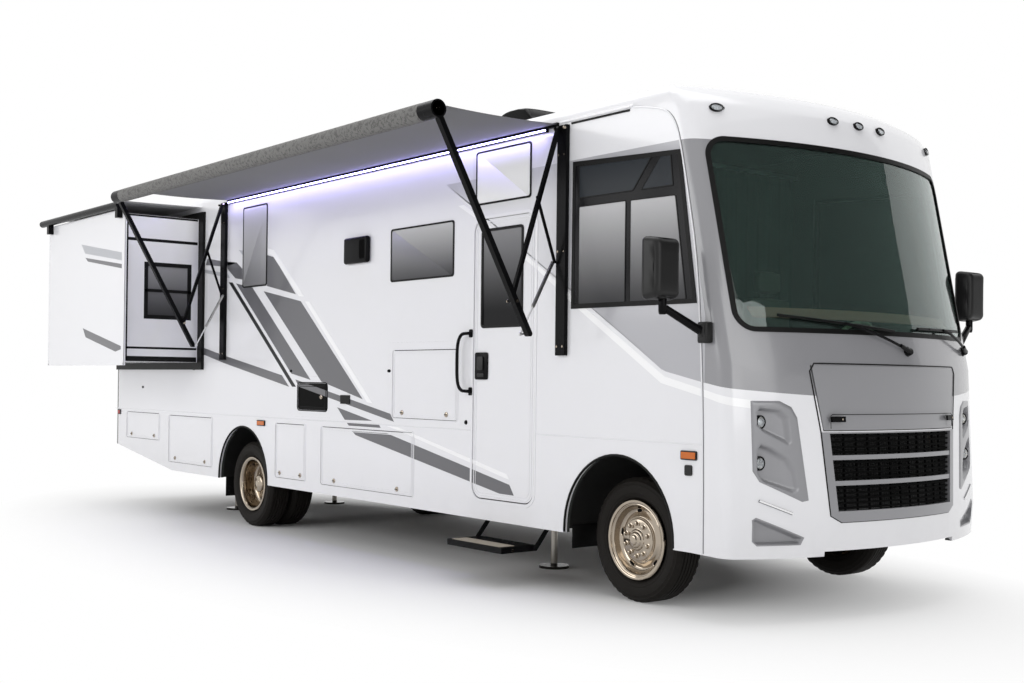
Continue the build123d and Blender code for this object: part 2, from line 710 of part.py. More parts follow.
for place in mast_x:
    outer_lane, inner_lane, link_lane, strut_lane = (lane(place, key) for key in lanes)
    inner_arm = bar_in_lane(inner_lane, pivot, elbow, inner_depth)
    for hole in (pivot, elbow, link_top):
        inner_arm -= pin_through(inner_lane[0] - 1, inner_lane[1] + 1, hole, hole_radius)
    inner_arms.append(inner_arm)
    # lug on the mast, with the pin that the inner arm hangs on
    lug = block(link_lane, (awning_pivot_y - lug_half, -half_width - mast_depth),
                (awning_pivot_z - lug_half, awning_pivot_z + lug_half))
    lug += pin_through(min(inner_lane[0], link_lane[0]), max(inner_lane[1], link_lane[1]), pivot, pin_radius)
    mast_lugs.append(lug)
    # long arm, with its elbow pin and the tail pin that the strut's eye runs beside
    outer_arm = bar_in_lane(outer_lane, tail, roller, outer_depth)
    outer_arm += pin_through(min(outer_lane[0], inner_lane[0]), max(outer_lane[1], inner_lane[1]), elbow, pin_radius)
    outer_arm += pin_through(min(outer_lane[0], link_lane[0]), max(outer_lane[1], link_lane[1]), tail, pin_radius)
    outer_arms.append(outer_arm)
    link = bar_in_lane(link_lane, link_top, link_foot, 20.0)
    link += pin_through(min(inner_lane[0], link_lane[0]), max(inner_lane[1], link_lane[1]), link_top, pin_radius)
    link += pin_through(min(link_lane[0], strut_lane[0]), max(link_lane[1], strut_lane[1]), link_foot, pin_radius)
    links.append(link)
    barrel = bar_in_lane(strut_lane, link_foot, rod_in, 18.0)
    barrel -= pin_through(strut_lane[0] - 1, strut_lane[1] + 1, link_foot, hole_radius)
    middle = (strut_lane[0] + strut_lane[1]) / 2
    barrel -= rod((middle, *along_strut(0.06)), (middle, *along_strut(0.8)), rod_radius + rod_clearance)
    barrels.append(barrel)
    strut_rod = rod((middle, *rod_back), (middle, *tail), rod_radius)
    strut_rod += pin_through(strut_lane[0] + 2, strut_lane[1] - 2, tail, 12.0)
    rods.append(strut_rod)

tube_ends = (mast_x[1][1] - mast_width / 2 - 8, mast_x[0][1] + mast_width / 2 + 8)
tube = rod((tube_ends[0], roller_y, roller_z), (tube_ends[1], roller_y, roller_z), roller_radius)
save("awning_outer_arms", outer_arms[0] + outer_arms[1] + tube)
save("awning_inner_arms", Compound(children=inner_arms))
save("awning_links", Compound(children=links))
save("awning_strut_barrels", Compound(children=barrels))
save("awning_strut_rods", Compound(children=rods))
for place_index, lug in enumerate(mast_lugs):
    fittings[place_index] = fittings[place_index] + lug
save("awning_masts", Compound(children=fittings))

canvas_low_z = roller_z + roller_radius + seat_gap
canvas_y = -half_width - awning_rail_depth - seat_gap
canvas = [(canvas_y, rail_z), (roller_y, canvas_low_z), (roller_y, canvas_low_z + fabric_thickness),
          (canvas_y, rail_z + fabric_thickness)]
save("awning_fabric", prism_x(canvas, rail_rear_x_awning, rail_front_x_awning))

# ---------------------------------------------------------------- floor, stepwell, arch liners
floor_low_z = floor_top_z - floor_thickness
plate_z = (floor_low_z, floor_top_z)
well_upright = (door_low_z + seat_gap, floor_low_z - seat_gap)
well_y = (-inner_half, -stepwell_inner_y + stepwell_wall)
well_inside = (door_rear_x + seat_gap, door_front_x - seat_gap)
inner_step_y = -stepwell_inner_y - 260
inner_step_z = 805.0
inner_step_board = 15.0
floor_panels = [
    block((rear_end_x + wall, door_rear_x - seat_gap), (-inner_half, inner_half), plate_z),
    block((door_rear_x, door_front_x), (-stepwell_inner_y, inner_half), plate_z),
    block((door_front_x + seat_gap, 640), (-inner_half, inner_half), plate_z),
    block((door_rear_x - stepwell_wall, door_front_x + stepwell_wall), well_y,
          (door_low_z - stepwell_wall, door_low_z)),
    block((door_rear_x - stepwell_wall, door_rear_x), well_y, well_upright),
    block((door_front_x, door_front_x + stepwell_wall), well_y, well_upright),
    block(well_inside, (-stepwell_inner_y, -stepwell_inner_y + stepwell_wall), well_upright),
    block(well_inside, (inner_step_y, -stepwell_inner_y - seat_gap), (inner_step_z - inner_step_board, inner_step_z)),
    block(well_inside, (inner_step_y, inner_step_y + inner_step_board),
          (door_low_z + seat_gap, inner_step_z - inner_step_board - seat_gap)),
]
save("floor", Compound(children=floor_panels))

liners = []
liner_thickness = 6.0
liner_gap = 14.0
for side in (-1, 1):
    for _, arch_x in arches:
        y_pair = sorted((side * inner_half, side * (inner_half - arch_depth)))
        low_z = arch_z - 10
        ring = arch_cut(arch_x, arch_radius + liner_gap + liner_thickness, *y_pair)
        ring -= arch_cut(arch_x, arch_radius + liner_gap, y_pair[0] - 5, y_pair[1] + 5)
        ring &= block((arch_x - 700, arch_x + 700), (y_pair[0] - 1, y_pair[1] + 1), (low_z, floor_low_z))
        liners.append(ring)
save("wheel_arch_liners", Compound(children=liners))

# ---------------------------------------------------------------- chassis
frame_pieces = []
web_y = rail_y + rail_width / 2 - rail_gauge
flange_y = rail_y - rail_width / 2
for side in (-1, 1):
    y_pair = (side * rail_y - rail_width / 2, side * rail_y + rail_width / 2)
    rail = block((rail_rear_x, rail_front_x), y_pair, (rail_low_z, rail_high_z))
    hollow = tuple(sorted((side * (flange_y - 1), side * web_y)))
    rail -= block((rail_rear_x - 1, rail_front_x + 1), hollow, (rail_low_z + rail_gauge, rail_high_z - rail_gauge))
    frame_pieces.append(rail)
for x in crossmembers:
    frame_pieces.append(block((x - member_half, x + member_half), (-web_y + seat_gap, web_y - seat_gap),
                              (rail_low_z + 20, rail_low_z + 90)))
# outriggers carry the floor
for x in outriggers:
    for side in (-1, 1):
        y_pair = tuple(sorted((side * rail_y, side * (rail_y + 20))))
        frame_pieces.append(block((x - 20, x + 20), y_pair, (rail_high_z + seat_gap, floor_low_z)))
for _, x, y in jack_places:
    for side in (-1, 1):
        at = (x, side * y)
        barrel = rod((*at, jack_barrel_low_z), (*at, jack_barrel_high_z), jack_barrel_radius)
        y_pair = tuple(sorted((side * (rail_y + rail_width / 2 + seat_gap), side * y)))
        barrel += block((x - 30, x + 30), y_pair, (rail_low_z + 30, rail_high_z - 30))
        barrel -= rod((*at, jack_barrel_low_z - 1), (*at, jack_barrel_high_z - 20),
                      jack_rod_radius + jack_bore_clearance)
        frame_pieces.append(barrel)
# hitch receiver under the last crossmember
receiver_half = receiver_outer / 2
bore_half = receiver_bore / 2
receiver = block((-8640, -8380), (-receiver_half, receiver_half),
                 (receiver_z - receiver_half, receiver_z + receiver_half))
receiver += block((-8460, -8380), (-flange_y + seat_gap, flange_y - seat_gap),
                  (receiver_z + receiver_half - 10, rail_low_z + 20 - seat_gap))
receiver -= block((-8641, -8400), (-bore_half, bore_half), (receiver_z - bore_half, receiver_z + bore_half))
receiver -= rod((-8590, -100, receiver_z), (-8590, 100, receiver_z), receiver_pin_radius)
frame_pieces.append(receiver)

tank = block((tank_rear_x + seat_gap, tank_front_x - seat_gap), (-380, 380), (470, 780))
frame_pieces.append(fillet(tank.edges().filter_by(Axis.X), 50))
muffler = rod((-2100, -250, 520), (-1300, -250, 520), 95.0)
for x in (-1950.0, -1450.0):
    muffler += block((x - 15, x + 15), (-rail_y, -250), (rail_low_z - 12, rail_low_z - seat_gap))
frame_pieces.append(muffler)

save("engine_block", block((engine_rear_x, engine_front_x), (-300, 300), (480, floor_low_z - 10)))


def leaf_spring(x_centre, half_length, seat_low, seat_high, seat_half):
    """Leaf spring from under the rail down to its axle, as x, z points."""
    eye_low, eye_in = rail_low_z - 40, half_length - 100
    return [
        (x_centre - half_length, eye_low),
        (x_centre - seat_half, seat_low),
        (x_centre + seat_half, seat_low),
        (x_centre + half_length, eye_low),
        (x_centre + half_length, rail_low_z),
        (x_centre + eye_in, rail_low_z),
        (x_centre + seat_half, seat_high),
        (x_centre - seat_half, seat_high),
        (x_centre - eye_in, rail_low_z),
        (x_centre - half_length, rail_low_z),
    ]


front_axle = block((-45, 45), (-kingpin_y + 60, kingpin_y - 60), (wheel_z - 95, wheel_z - 15))
for side in (-1, 1):
    y_pair = tuple(sorted((side * (kingpin_y - 62), side * (kingpin_y - 20))))
    front_axle += block((-40, 40), y_pair, (wheel_z - 95, wheel_z + 25))
    front_axle += rod((0, side * kingpin_y, wheel_z - 25), (0, side * kingpin_y, wheel_z + 25), 30.0)
    front_axle -= rod((0, side * kingpin_y, wheel_z - 90), (0, side * kingpin_y, wheel_z + 90), kingpin_radius + 0.06)
    spring = leaf_spring(0, 640, wheel_z - 15, wheel_z + 25, 40)
    front_axle += prism_y(spring, side * rail_y - 35, side * rail_y + 35)
save("front_axle", front_axle)

rear_axle = rod((-wheelbase, -700, wheel_z), (-wheelbase, 700, wheel_z), 55.0)
rear_axle += Pos(-wheelbase, 0, wheel_z) * Sphere(165)
propshaft = rod((-wheelbase + 140, 0, wheel_z + 15), (engine_rear_x + 60, 0, 562), 40.0)
rear_axle += propshaft - block((engine_rear_x, engine_rear_x + 200), (-100, 100), (400, 700))
for side in (-1, 1):
    spring = leaf_spring(-wheelbase, 700, wheel_z + 20, wheel_z + 90, 60)
    rear_axle += prism_y(spring, side * rail_y - 35, side * rail_y + 35)
    rear_axle += rod((-wheelbase, side * 690, wheel_z), (-wheelbase, side * 1000, wheel_z), 40.0)
save("rear_axle", rear_axle)

# ---------------------------------------------------------------- knuckles, wheels
arm_z = (wheel_z - 125, wheel_z - 105)
tie_z = wheel_z - 140
for side, name in ((-1, "right"), (1, "left")):
    king = side * kingpin_y
    knuckle = rod((0, king, wheel_z - 100), (0, king, wheel_z + 70), kingpin_radius)
    fork_y = tuple(sorted((side * (kingpin_y - 30), side * (kingpin_y + 62))))
    for fork_z in ((wheel_z - 125, wheel_z - 97), (wheel_z + 28, wheel_z + 60)):
        knuckle += block((-36, 36), fork_y, fork_z)
    web = tuple(sorted((side * (kingpin_y + 34), side * (kingpin_y + 62))))
    knuckle += block((-45, 45), web, (wheel_z - 125, wheel_z + 60))
    knuckle += rod((0, side * (kingpin_y + 60), wheel_z), (0, side * (kingpin_y + 200), wheel_z), 30.0)
    # steering arm straight back from the kingpin, with the tie rod's pin
    knuckle += block((-steering_arm_length - 12, -20), (king - 16, king + 16), arm_z)
    knuckle += rod((-steering_arm_length, king, tie_z - 10), (-steering_arm_length, king, arm_z[0] + 5),
                   tie_pin_radius)
    save(f"{name}_knuckle", knuckle)

tie_rod = rod((-steering_arm_length, -kingpin_y, tie_z), (-steering_arm_length, kingpin_y, tie_z), 13.0)
for king in (-kingpin_y, kingpin_y):
    tie_rod += rod((-steering_arm_length, king, tie_z - 16), (-steering_arm_length, king, tie_z + 13), 17.0)
for king in (-kingpin_y, kingpin_y):
    tie_rod -= rod((-steering_arm_length, king, tie_z - 30), (-steering_arm_length, king, tie_z + 30),
                   tie_pin_radius + bore_slack)
save("tie_rod", tie_rod)

rim_gap = 0.3


def wheel_ring(profile, y_centre):
    """Turn a radius, offset outline about the axle line."""
    face = make_face(Polyline(*[(offset, radius) for radius, offset in profile], close=True))
    ring = revolve(face, Axis.X)
    return Pos(0, y_centre, 0) * Rot(0, 0, 90) * ring


half_tyre = tyre_width / 2
half_tyre_profile = [(tyre_radius, 84.0), (385.0, 100.0), (330.0, half_tyre), (rim_radius + 16, 76.0),
                     (rim_radius + rim_gap, 76.0)]
tyre_profile = half_tyre_profile + [(radius, -offset) for radius, offset in reversed(half_tyre_profile)]


def tyre(x, y):
    return Pos(x, 0, wheel_z) * wheel_ring(tyre_profile, y)


half_rim_profile = [(rim_radius - 26, 60.0), (rim_radius - 10, 86.0), (rim_radius + 14, 86.0),
                    (rim_radius + 14, 78.0), (rim_radius, 76.0)]
rim_profile = half_rim_profile + [(radius, -offset) for radius, offset in reversed(half_rim_profile)]
hand_holes = 5
plate_gauge = 12.0


def rim(x, y, side, disc_offset, hub_reach):
    """Pressed wheel: rim with flanges, and a disc with hand holes that reaches out to the hub."""
    shape = wheel_ring(rim_profile, 0)
    face = [(60.0, disc_offset + hub_reach), (150.0, disc_offset + hub_reach * 0.6), (rim_radius - 20, disc_offset)]
    disc = face + [(radius, offset - plate_gauge) for radius, offset in reversed(face)]
    plate = wheel_ring([(radius, side * offset) for radius, offset in disc], 0)
    for i in range(hand_holes):
        angle = math.radians(360 / hand_holes * (i + 0.5))
        centre = (190 * math.cos(angle), 190 * math.sin(angle))
        plate -= rod((centre[0], -200, centre[1]), (centre[0], 200, centre[1]), 22.0)
    return Pos(x, y, wheel_z) * (shape + plate)


front_y = front_track / 2
outer_y = rear_outer_y
inner_y = rear_outer_y - twin_spacing
for side, name in ((-1, "right"), (1, "left")):
    save(f"front_{name}_tyre", tyre(0, side * front_y))
    wheel = rim(0, side * front_y, side, 20.0, 75.0)
    hub = rod((0, side * (kingpin_y + 72), wheel_z), (0, side * (front_y + 135), wheel_z), 62.0)
    hub -= rod((0, side * (kingpin_y + 60), wheel_z), (0, side * (kingpin_y + 205), wheel_z), 30.06)
    save(f"front_{name}_wheel", wheel + hub)
    twin = [tyre(-wheelbase, side * outer_y), tyre(-wheelbase, side * inner_y)]
    save(f"rear_{name}_tyres", Compound(children=twin))
    pair = rim(-wheelbase, side * outer_y, side, -60.0, -55.0)
    pair += rim(-wheelbase, side * inner_y, side, 60.0, 55.0)
    hub = rod((-wheelbase, side * (inner_y + 70), wheel_z), (-wheelbase, side * (outer_y + 20), wheel_z), 75.0)
    hub -= rod((-wheelbase, side * 600, wheel_z), (-wheelbase, side * 1005, wheel_z), 40.06)
    save(f"rear_{name}_wheels", pair + hub)

# ---------------------------------------------------------------- jacks
for name, x, y in jack_places:
    legs = []
    for side in (-1, 1):
        foot = rod((x, side * y, 0), (x, side * y, jack_foot_thickness), jack_foot_radius)
        foot += rod((x, side * y, jack_foot_thickness - 5), (x, side * y, jack_barrel_low_z + 160), jack_rod_radius)
        legs.append(foot)
    save(f"{name}_jack_legs", Compound(children=legs))

# ---------------------------------------------------------------- entry step
bracket_z = door_low_z - stepwell_wall
arm_x = [(tread_rear_x - 20 - step_arm_thickness, tread_rear_x - 20),
         (tread_front_x + 20, tread_front_x + 20 + step_arm_thickness)]
brackets = []
arms = None
step_pin_z = tread_top_z - tread_thickness / 2
for i, (low, high) in enumerate(arm_x):
    plate_x = (low - 12, low - 2) if i == 0 else (high + 2, high + 12)
    plate = block(plate_x, (step_pivot_y - 30, step_pivot_y + 120), (step_pivot_z - 30, bracket_z))
    pin_x = (plate_x[0], high) if i == 0 else (low, plate_x[1])
    plate += rod((pin_x[0], step_pivot_y, step_pivot_z), (pin_x[1], step_pivot_y, step_pivot_z), step_pin_radius)
    brackets.append(plate)
    arm = bar_in_lane((low, high), (step_pivot_y, step_pivot_z), (step_pin_y, step_pin_z), 34)
    arm -= rod((low - 1, step_pivot_y, step_pivot_z), (high + 1, step_pivot_y, step_pivot_z), step_pin_radius + 0.06)
    arm -= rod((low - 1, step_pin_y, step_pin_z), (high + 1, step_pin_y, step_pin_z), step_pin_radius + 0.06)
    arms = [arm] if arms is None else arms + [arm]
tread = block((tread_rear_x, tread_front_x), (tread_outer_y, tread_inner_y),
              (tread_top_z - tread_thickness, tread_top_z))
for i, (low, high) in enumerate(arm_x):
    pin_x = (low, tread_rear_x + 5) if i == 0 else (tread_front_x - 5, high)
    tread += rod((pin_x[0], step_pin_y, step_pin_z), (pin_x[1], step_pin_y, step_pin_z), step_pin_radius)
save("chassis_frame", Compound(children=frame_pieces + brackets))
save("step_arms", Compound(children=arms))
save("step_tread", tread)

# ---------------------------------------------------------------- cab interior
dash_outline = [(480, floor_top_z), (700, floor_top_z), (760, 1500), (820, 1640), (500, 1640), (430, 1500)]
dash = prism_y(dash_outline, -1100, 1100)
seat_y = 600.0
steering_at = Vector(360, seat_y, 1690)
steering_lean = Vector(-145, 0, 100)
column = rod(tuple(steering_at - steering_lean), tuple(steering_at), 30.0)
wheel_plane = Plane(origin=tuple(steering_at), z_dir=tuple(steering_lean))
steering = wheel_plane * (Torus(215, 16))
steering += wheel_plane * Cylinder(60, 30)
for angle in (0, 120, 240):
    steering += wheel_plane * Rot(0, 0, angle) * Pos(130, 0, 0) * Box(170, 30, 14)
save("dashboard", dash + column + steering)
seats = []
for y in (-seat_y, seat_y):
    seat = block((-330, 170), (y - 250, y + 250), (1380, 1500))
    seat += block((-460, -330), (y - 240, y + 240), (1380, 2080))
    seat += block((-440, -350), (y - 130, y + 130), (2080, 2280))
    seat += block((-280, 120), (y - 150, y + 150), (floor_top_z, 1380))
    seats.append(seat)
save("cab_seats", Compound(children=seats))

# ---------------------------------------------------------------- roof, mirrors, wall fittings
roof_solid = cross_section(0, rear_end_x, 100)
roof_unit_x = (-2800.0, -1850.0)
unit = block(roof_unit_x, (-350, 350), (roof_crown_z + 12, 3690))
unit = fillet(unit.edges().filter_by(Axis.Z), 120)
unit += block((-2700, -1950), (-250, 250), (roof_crown_z - 2, roof_crown_z + 14))
unit = unit - roof_solid
save("roof_air_conditioner", unit)
vent_x = -3900.0
vent_half = 200.0
vent_top_z = roof_crown_z + 40
vent_range = (vent_x - vent_half, vent_x + vent_half)
roof += block(vent_range, (-vent_half, vent_half), (roof_crown_z - 15, vent_top_z))
lid_half = vent_half + 5
lid = block((vent_x - lid_half, vent_x + lid_half), (-lid_half, lid_half), (vent_top_z + 0.3, vent_top_z + 35))
save("roof_vent_lid", fillet(lid.edges().filter_by(Axis.Z), 40))

mirrors = []
for side in (-1, 1):
    head = Pos(700, side * 1600, 2090) * Box(130, 235, 375)
    head = fillet(head.edges().filter_by(Axis.X), 50)
    head += rod((700, side * 1590, 1925), (700, side * 1590, 1850), 22.0)
    head += rod((700, side * 1590, 1862), (790, side * 1330, 1725), 18.0)
    head += block((740, 820), tuple(sorted((side * half_width, side * 1345))), (1660, 1790))
    mirrors.append(head)
save("mirrors", Compound(children=mirrors))

frames += [
    block((-3390, -3017), wall_band("right", 45, 0), (2388, 2609)),
    block((-3468, -3318), wall_band("right", 8, 0), (1215, 1289)),
]
grab_x = (-1680, -1650)
grab = block(grab_x, wall_band("right", 55, 0), (1330, 1360)) + block(grab_x, wall_band("right", 55, 0), (1760, 1790))
grab += block(grab_x, (-half_width - 55, -half_width - 35), (1330, 1790))
frames.append(grab)

save("lamps", Compound(children=[solid for lamp in lamps for solid in lamp.solids()]))
save("wall_trim", Compound(children=[solid for frame in frames for solid in frame.solids()]))
save("window_glass", Compound(children=[solid for pane in panes for solid in pane.solids()]))
save("right_side_wall", Compound(children=sides["right"].solids() + surrounds))
save("left_side_wall", sides["left"])
save("roof_shell", roof)
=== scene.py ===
import json
import math
import random

import bmesh
import bpy
from mathutils import Matrix, Vector

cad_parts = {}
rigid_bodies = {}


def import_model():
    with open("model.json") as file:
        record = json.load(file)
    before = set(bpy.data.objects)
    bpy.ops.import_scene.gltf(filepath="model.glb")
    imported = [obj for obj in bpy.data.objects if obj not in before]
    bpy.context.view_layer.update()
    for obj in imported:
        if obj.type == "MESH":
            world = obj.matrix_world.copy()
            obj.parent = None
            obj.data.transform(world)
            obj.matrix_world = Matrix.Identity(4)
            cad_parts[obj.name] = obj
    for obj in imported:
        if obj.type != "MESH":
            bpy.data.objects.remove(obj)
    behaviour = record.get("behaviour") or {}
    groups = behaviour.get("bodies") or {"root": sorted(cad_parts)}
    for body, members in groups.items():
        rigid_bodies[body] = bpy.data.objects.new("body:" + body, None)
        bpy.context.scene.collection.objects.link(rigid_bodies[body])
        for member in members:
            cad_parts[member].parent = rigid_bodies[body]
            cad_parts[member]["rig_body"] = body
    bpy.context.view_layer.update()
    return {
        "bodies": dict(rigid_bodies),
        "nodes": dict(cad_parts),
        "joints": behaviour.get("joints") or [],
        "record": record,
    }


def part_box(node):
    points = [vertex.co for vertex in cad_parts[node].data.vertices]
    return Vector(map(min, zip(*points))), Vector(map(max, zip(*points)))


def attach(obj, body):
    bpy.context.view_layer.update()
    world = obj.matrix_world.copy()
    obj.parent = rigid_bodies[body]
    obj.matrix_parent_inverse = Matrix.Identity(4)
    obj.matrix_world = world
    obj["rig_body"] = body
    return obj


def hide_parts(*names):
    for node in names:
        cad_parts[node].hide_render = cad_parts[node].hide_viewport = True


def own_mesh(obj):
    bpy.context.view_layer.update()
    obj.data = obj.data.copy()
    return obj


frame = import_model()
nodes = frame["nodes"]
scene = bpy.context.scene
random.seed(7)

# main places, metres, read from the frame or shared by several pieces
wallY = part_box("left_side_wall")[1].y
skin = 0.0008  # thickness of a vinyl stripe
wheelbase = -(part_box("rear_right_wheels")[0].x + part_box("rear_right_wheels")[1].x) / 2
axleZ = (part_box("front_right_tyre")[0].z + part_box("front_right_tyre")[1].z) / 2


# shader groups, each built once
def newGroup(name, inputs, outputs):
    group = bpy.data.node_groups.new(name, "ShaderNodeTree")
    for label, kind, value in inputs:
        socket = group.interface.new_socket(name=label, in_out="INPUT", socket_type=kind)
        socket.default_value = value
    for label, kind in outputs:
        group.interface.new_socket(name=label, in_out="OUTPUT", socket_type=kind)
    start = group.nodes.new("NodeGroupInput")
    end = group.nodes.new("NodeGroupOutput")
    return group, start, end


def addMath(tree, operation, first, second=None, third=None, clamp=False):
    node = tree.nodes.new("ShaderNodeMath")
    node.operation = operation
    node.use_clamp = clamp
    for index, value in enumerate((first, second, third)):
        if value is None:
            continue
        if isinstance(value, (int, float)):
            node.inputs[index].default_value = value
        else:
            tree.links.new(value, node.inputs[index])
    return node.outputs[0]


def addNoise(tree, vector, scale, detail=3.0, roughness=0.55):
    node = tree.nodes.new("ShaderNodeTexNoise")
    node.inputs["Detail"].default_value = detail
    node.inputs["Roughness"].default_value = roughness
    if isinstance(scale, (int, float)):
        node.inputs["Scale"].default_value = scale
    else:
        tree.links.new(scale, node.inputs["Scale"])
    tree.links.new(vector, node.inputs["Vector"])
    return node.outputs["Fac"]


def addMix(tree, share, first, second):
    node = tree.nodes.new("ShaderNodeMix")
    node.data_type = "RGBA"
    for socket, value in ((node.inputs[0], share), (node.inputs[6], first), (node.inputs[7], second)):
        if isinstance(value, (int, float, tuple)):
            socket.default_value = value
        else:
            tree.links.new(value, socket)
    return node.outputs[2]


def buildVariationGroup():
    # broad tint drift and fine speckle over a colour, and a matching drift in roughness
    group, start, end = newGroup("tintDrift", [
        ("Color", "NodeSocketColor", (0.8, 0.8, 0.8, 1)), ("Drift", "NodeSocketFloat", 0.05),
        ("Scale", "NodeSocketFloat", 1.5), ("Roughness", "NodeSocketFloat", 0.4)],
        [("Color", "NodeSocketColor"), ("Roughness", "NodeSocketFloat")])
    place = group.nodes.new("ShaderNodeTexCoord").outputs["Object"]
    broad = addNoise(group, place, start.outputs["Scale"], 4.0)
    fineScale = addMath(group, "MULTIPLY", start.outputs["Scale"], 23.0)
    fine = addNoise(group, place, fineScale, 2.0)
    both = addMath(group, "ADD", addMath(group, "MULTIPLY", broad, 0.7),
            addMath(group, "MULTIPLY", fine, 0.3))
    centred = addMath(group, "SUBTRACT", both, 0.5)
    gain = addMath(group, "MULTIPLY_ADD", centred, start.outputs["Drift"], 1.0)
    scaled = group.nodes.new("ShaderNodeVectorMath")
    scaled.operation = "SCALE"
    group.links.new(start.outputs["Color"], scaled.inputs[0])
    group.links.new(gain, scaled.inputs["Scale"])
    group.links.new(scaled.outputs[0], end.inputs["Color"])
    rough = addMath(group, "MULTIPLY_ADD", centred, addMath(group, "MULTIPLY", start.outputs["Drift"], 0.8),
            start.outputs["Roughness"], True)
    group.links.new(rough, end.inputs["Roughness"])
    return group


def buildGrainGroup():
    # height of a fine orange-peel or moulded grain
    group, start, end = newGroup("mouldGrain",
            [("Scale", "NodeSocketFloat", 300.0), ("Depth", "NodeSocketFloat", 1.0)],
            [("Height", "NodeSocketFloat")])
    place = group.nodes.new("ShaderNodeTexCoord").outputs["Object"]
    fine = addNoise(group, place, start.outputs["Scale"], 2.0, 0.6)
    group.links.new(addMath(group, "MULTIPLY", fine, start.outputs["Depth"]), end.inputs["Height"])
    return group


def buildDirtGroup():
    # road film that gathers low on the body
    group, start, end = newGroup("roadFilm", [
        ("Color", "NodeSocketColor", (0.8, 0.8, 0.8, 1)), ("Amount", "NodeSocketFloat", 0.1),
        ("Top", "NodeSocketFloat", 0.8)], [("Color", "NodeSocketColor"), ("Mask", "NodeSocketFloat")])
    place = group.nodes.new("ShaderNodeTexCoord").outputs["Object"]
    split = group.nodes.new("ShaderNodeSeparateXYZ")
    group.links.new(place, split.inputs[0])
    height = addMath(group, "DIVIDE", split.outputs["Z"], start.outputs["Top"])
    low = addMath(group, "SUBTRACT", 1.0, height, None, True)
    mask = addMath(group, "MULTIPLY", addMath(group, "MULTIPLY", low, addNoise(group, place, 6.0, 5.0)),
            start.outputs["Amount"], None, True)
    group.links.new(addMix(group, mask, start.outputs["Color"], (0.16, 0.14, 0.12, 1)), end.inputs["Color"])
    group.links.new(mask, end.inputs["Mask"])
    return group


def buildWeaveGroup():
    # plain weave: two crossed waves over the cloth's own UV map, in metres
    group, start, end = newGroup("plainWeave", [("Threads", "NodeSocketFloat", 900.0)],
            [("Height", "NodeSocketFloat"), ("Mask", "NodeSocketFloat")])
    uv = group.nodes.new("ShaderNodeTexCoord").outputs["UV"]
    split = group.nodes.new("ShaderNodeSeparateXYZ")
    group.links.new(uv, split.inputs[0])
    waves = [addMath(group, "SINE", addMath(group, "MULTIPLY", split.outputs[axis], start.outputs["Threads"]))
            for axis in ("X", "Y")]
    height = addMath(group, "MULTIPLY_ADD", addMath(group, "MULTIPLY", waves[0], waves[1]), 0.5, 0.5)
    group.links.new(height, end.inputs["Height"])
    group.links.new(addNoise(group, uv, 40.0, 6.0, 0.7), end.inputs["Mask"])
    return group


tintDrift = buildVariationGroup()
mouldGrain = buildGrainGroup()
roadFilm = buildDirtGroup()
plainWeave = buildWeaveGroup()


def newFinish(name, color, roughness, metallic=0.0, coat=0.0, drift=0.06, driftScale=1.5, grain=300.0,
        depth=0.05,
        film=0.0, specular=0.5):
    finish = bpy.data.materials.new(name)
    finish.use_nodes = True
    tree = finish.node_tree
    shader = tree.nodes["Principled BSDF"]
    shader.inputs["Metallic"].default_value = metallic
    shader.inputs["Coat Weight"].default_value = coat
    shader.inputs["Coat Roughness"].default_value = 0.08
    shader.inputs["Specular IOR Level"].default_value = specular
    tint = tree.nodes.new("ShaderNodeGroup")
    tint.node_tree = tintDrift
    tint.inputs["Color"].default_value = (*color, 1)
    tint.inputs["Drift"].default_value = drift
    tint.inputs["Scale"].default_value = driftScale
    tint.inputs["Roughness"].default_value = roughness
    outColor = tint.outputs["Color"]
    if film:
        dirt = tree.nodes.new("ShaderNodeGroup")
        dirt.node_tree = roadFilm
        dirt.inputs["Amount"].default_value = film
        tree.links.new(outColor, dirt.inputs["Color"])
        outColor = dirt.outputs["Color"]
    tree.links.new(outColor, shader.inputs["Base Color"])
    tree.links.new(tint.outputs["Roughness"], shader.inputs["Roughness"])
    if depth:
        peel = tree.nodes.new("ShaderNodeGroup")
        peel.node_tree = mouldGrain
        peel.inputs["Scale"].default_value = grain
        bump = tree.nodes.new("ShaderNodeBump")
        bump.inputs["Strength"].default_value = depth
        bump.inputs["Distance"].default_value = 0.001
        tree.links.new(peel.outputs["Height"], bump.inputs["Height"])
        tree.links.new(bump.outputs["Normal"], shader.inputs["Normal"])
    return finish


def baseColorInto(finish, builder):
    tree = finish.node_tree
    shader = tree.nodes["Principled BSDF"]
    link = shader.inputs["Base Color"].links[0]
    source = link.from_socket
    tree.links.remove(link)
    tree.links.new(builder(tree, source), shader.inputs["Base Color"])


def objectAxes(tree):
    split = tree.nodes.new("ShaderNodeSeparateXYZ")
    tree.links.new(tree.nodes.new("ShaderNodeTexCoord").outputs["Object"], split.inputs[0])
    return split.outputs["X"], split.outputs["Y"], split.outputs["Z"]


tones = {
    "white": (0.8, 0.8, 0.825),
    "brightWhite": (0.93, 0.93, 0.94),
    "stripeGrey": (0.105, 0.105, 0.115),
    "stripeLight": (0.42, 0.43, 0.46),
    "silver": (0.26, 0.26, 0.274),
    # the side's copy of the silver, painted lighter than the nose's: painted light on the side wall
    "sideSilverPaintedLight": (0.39, 0.39, 0.415),
    "lining": (0.045, 0.048, 0.045),
}

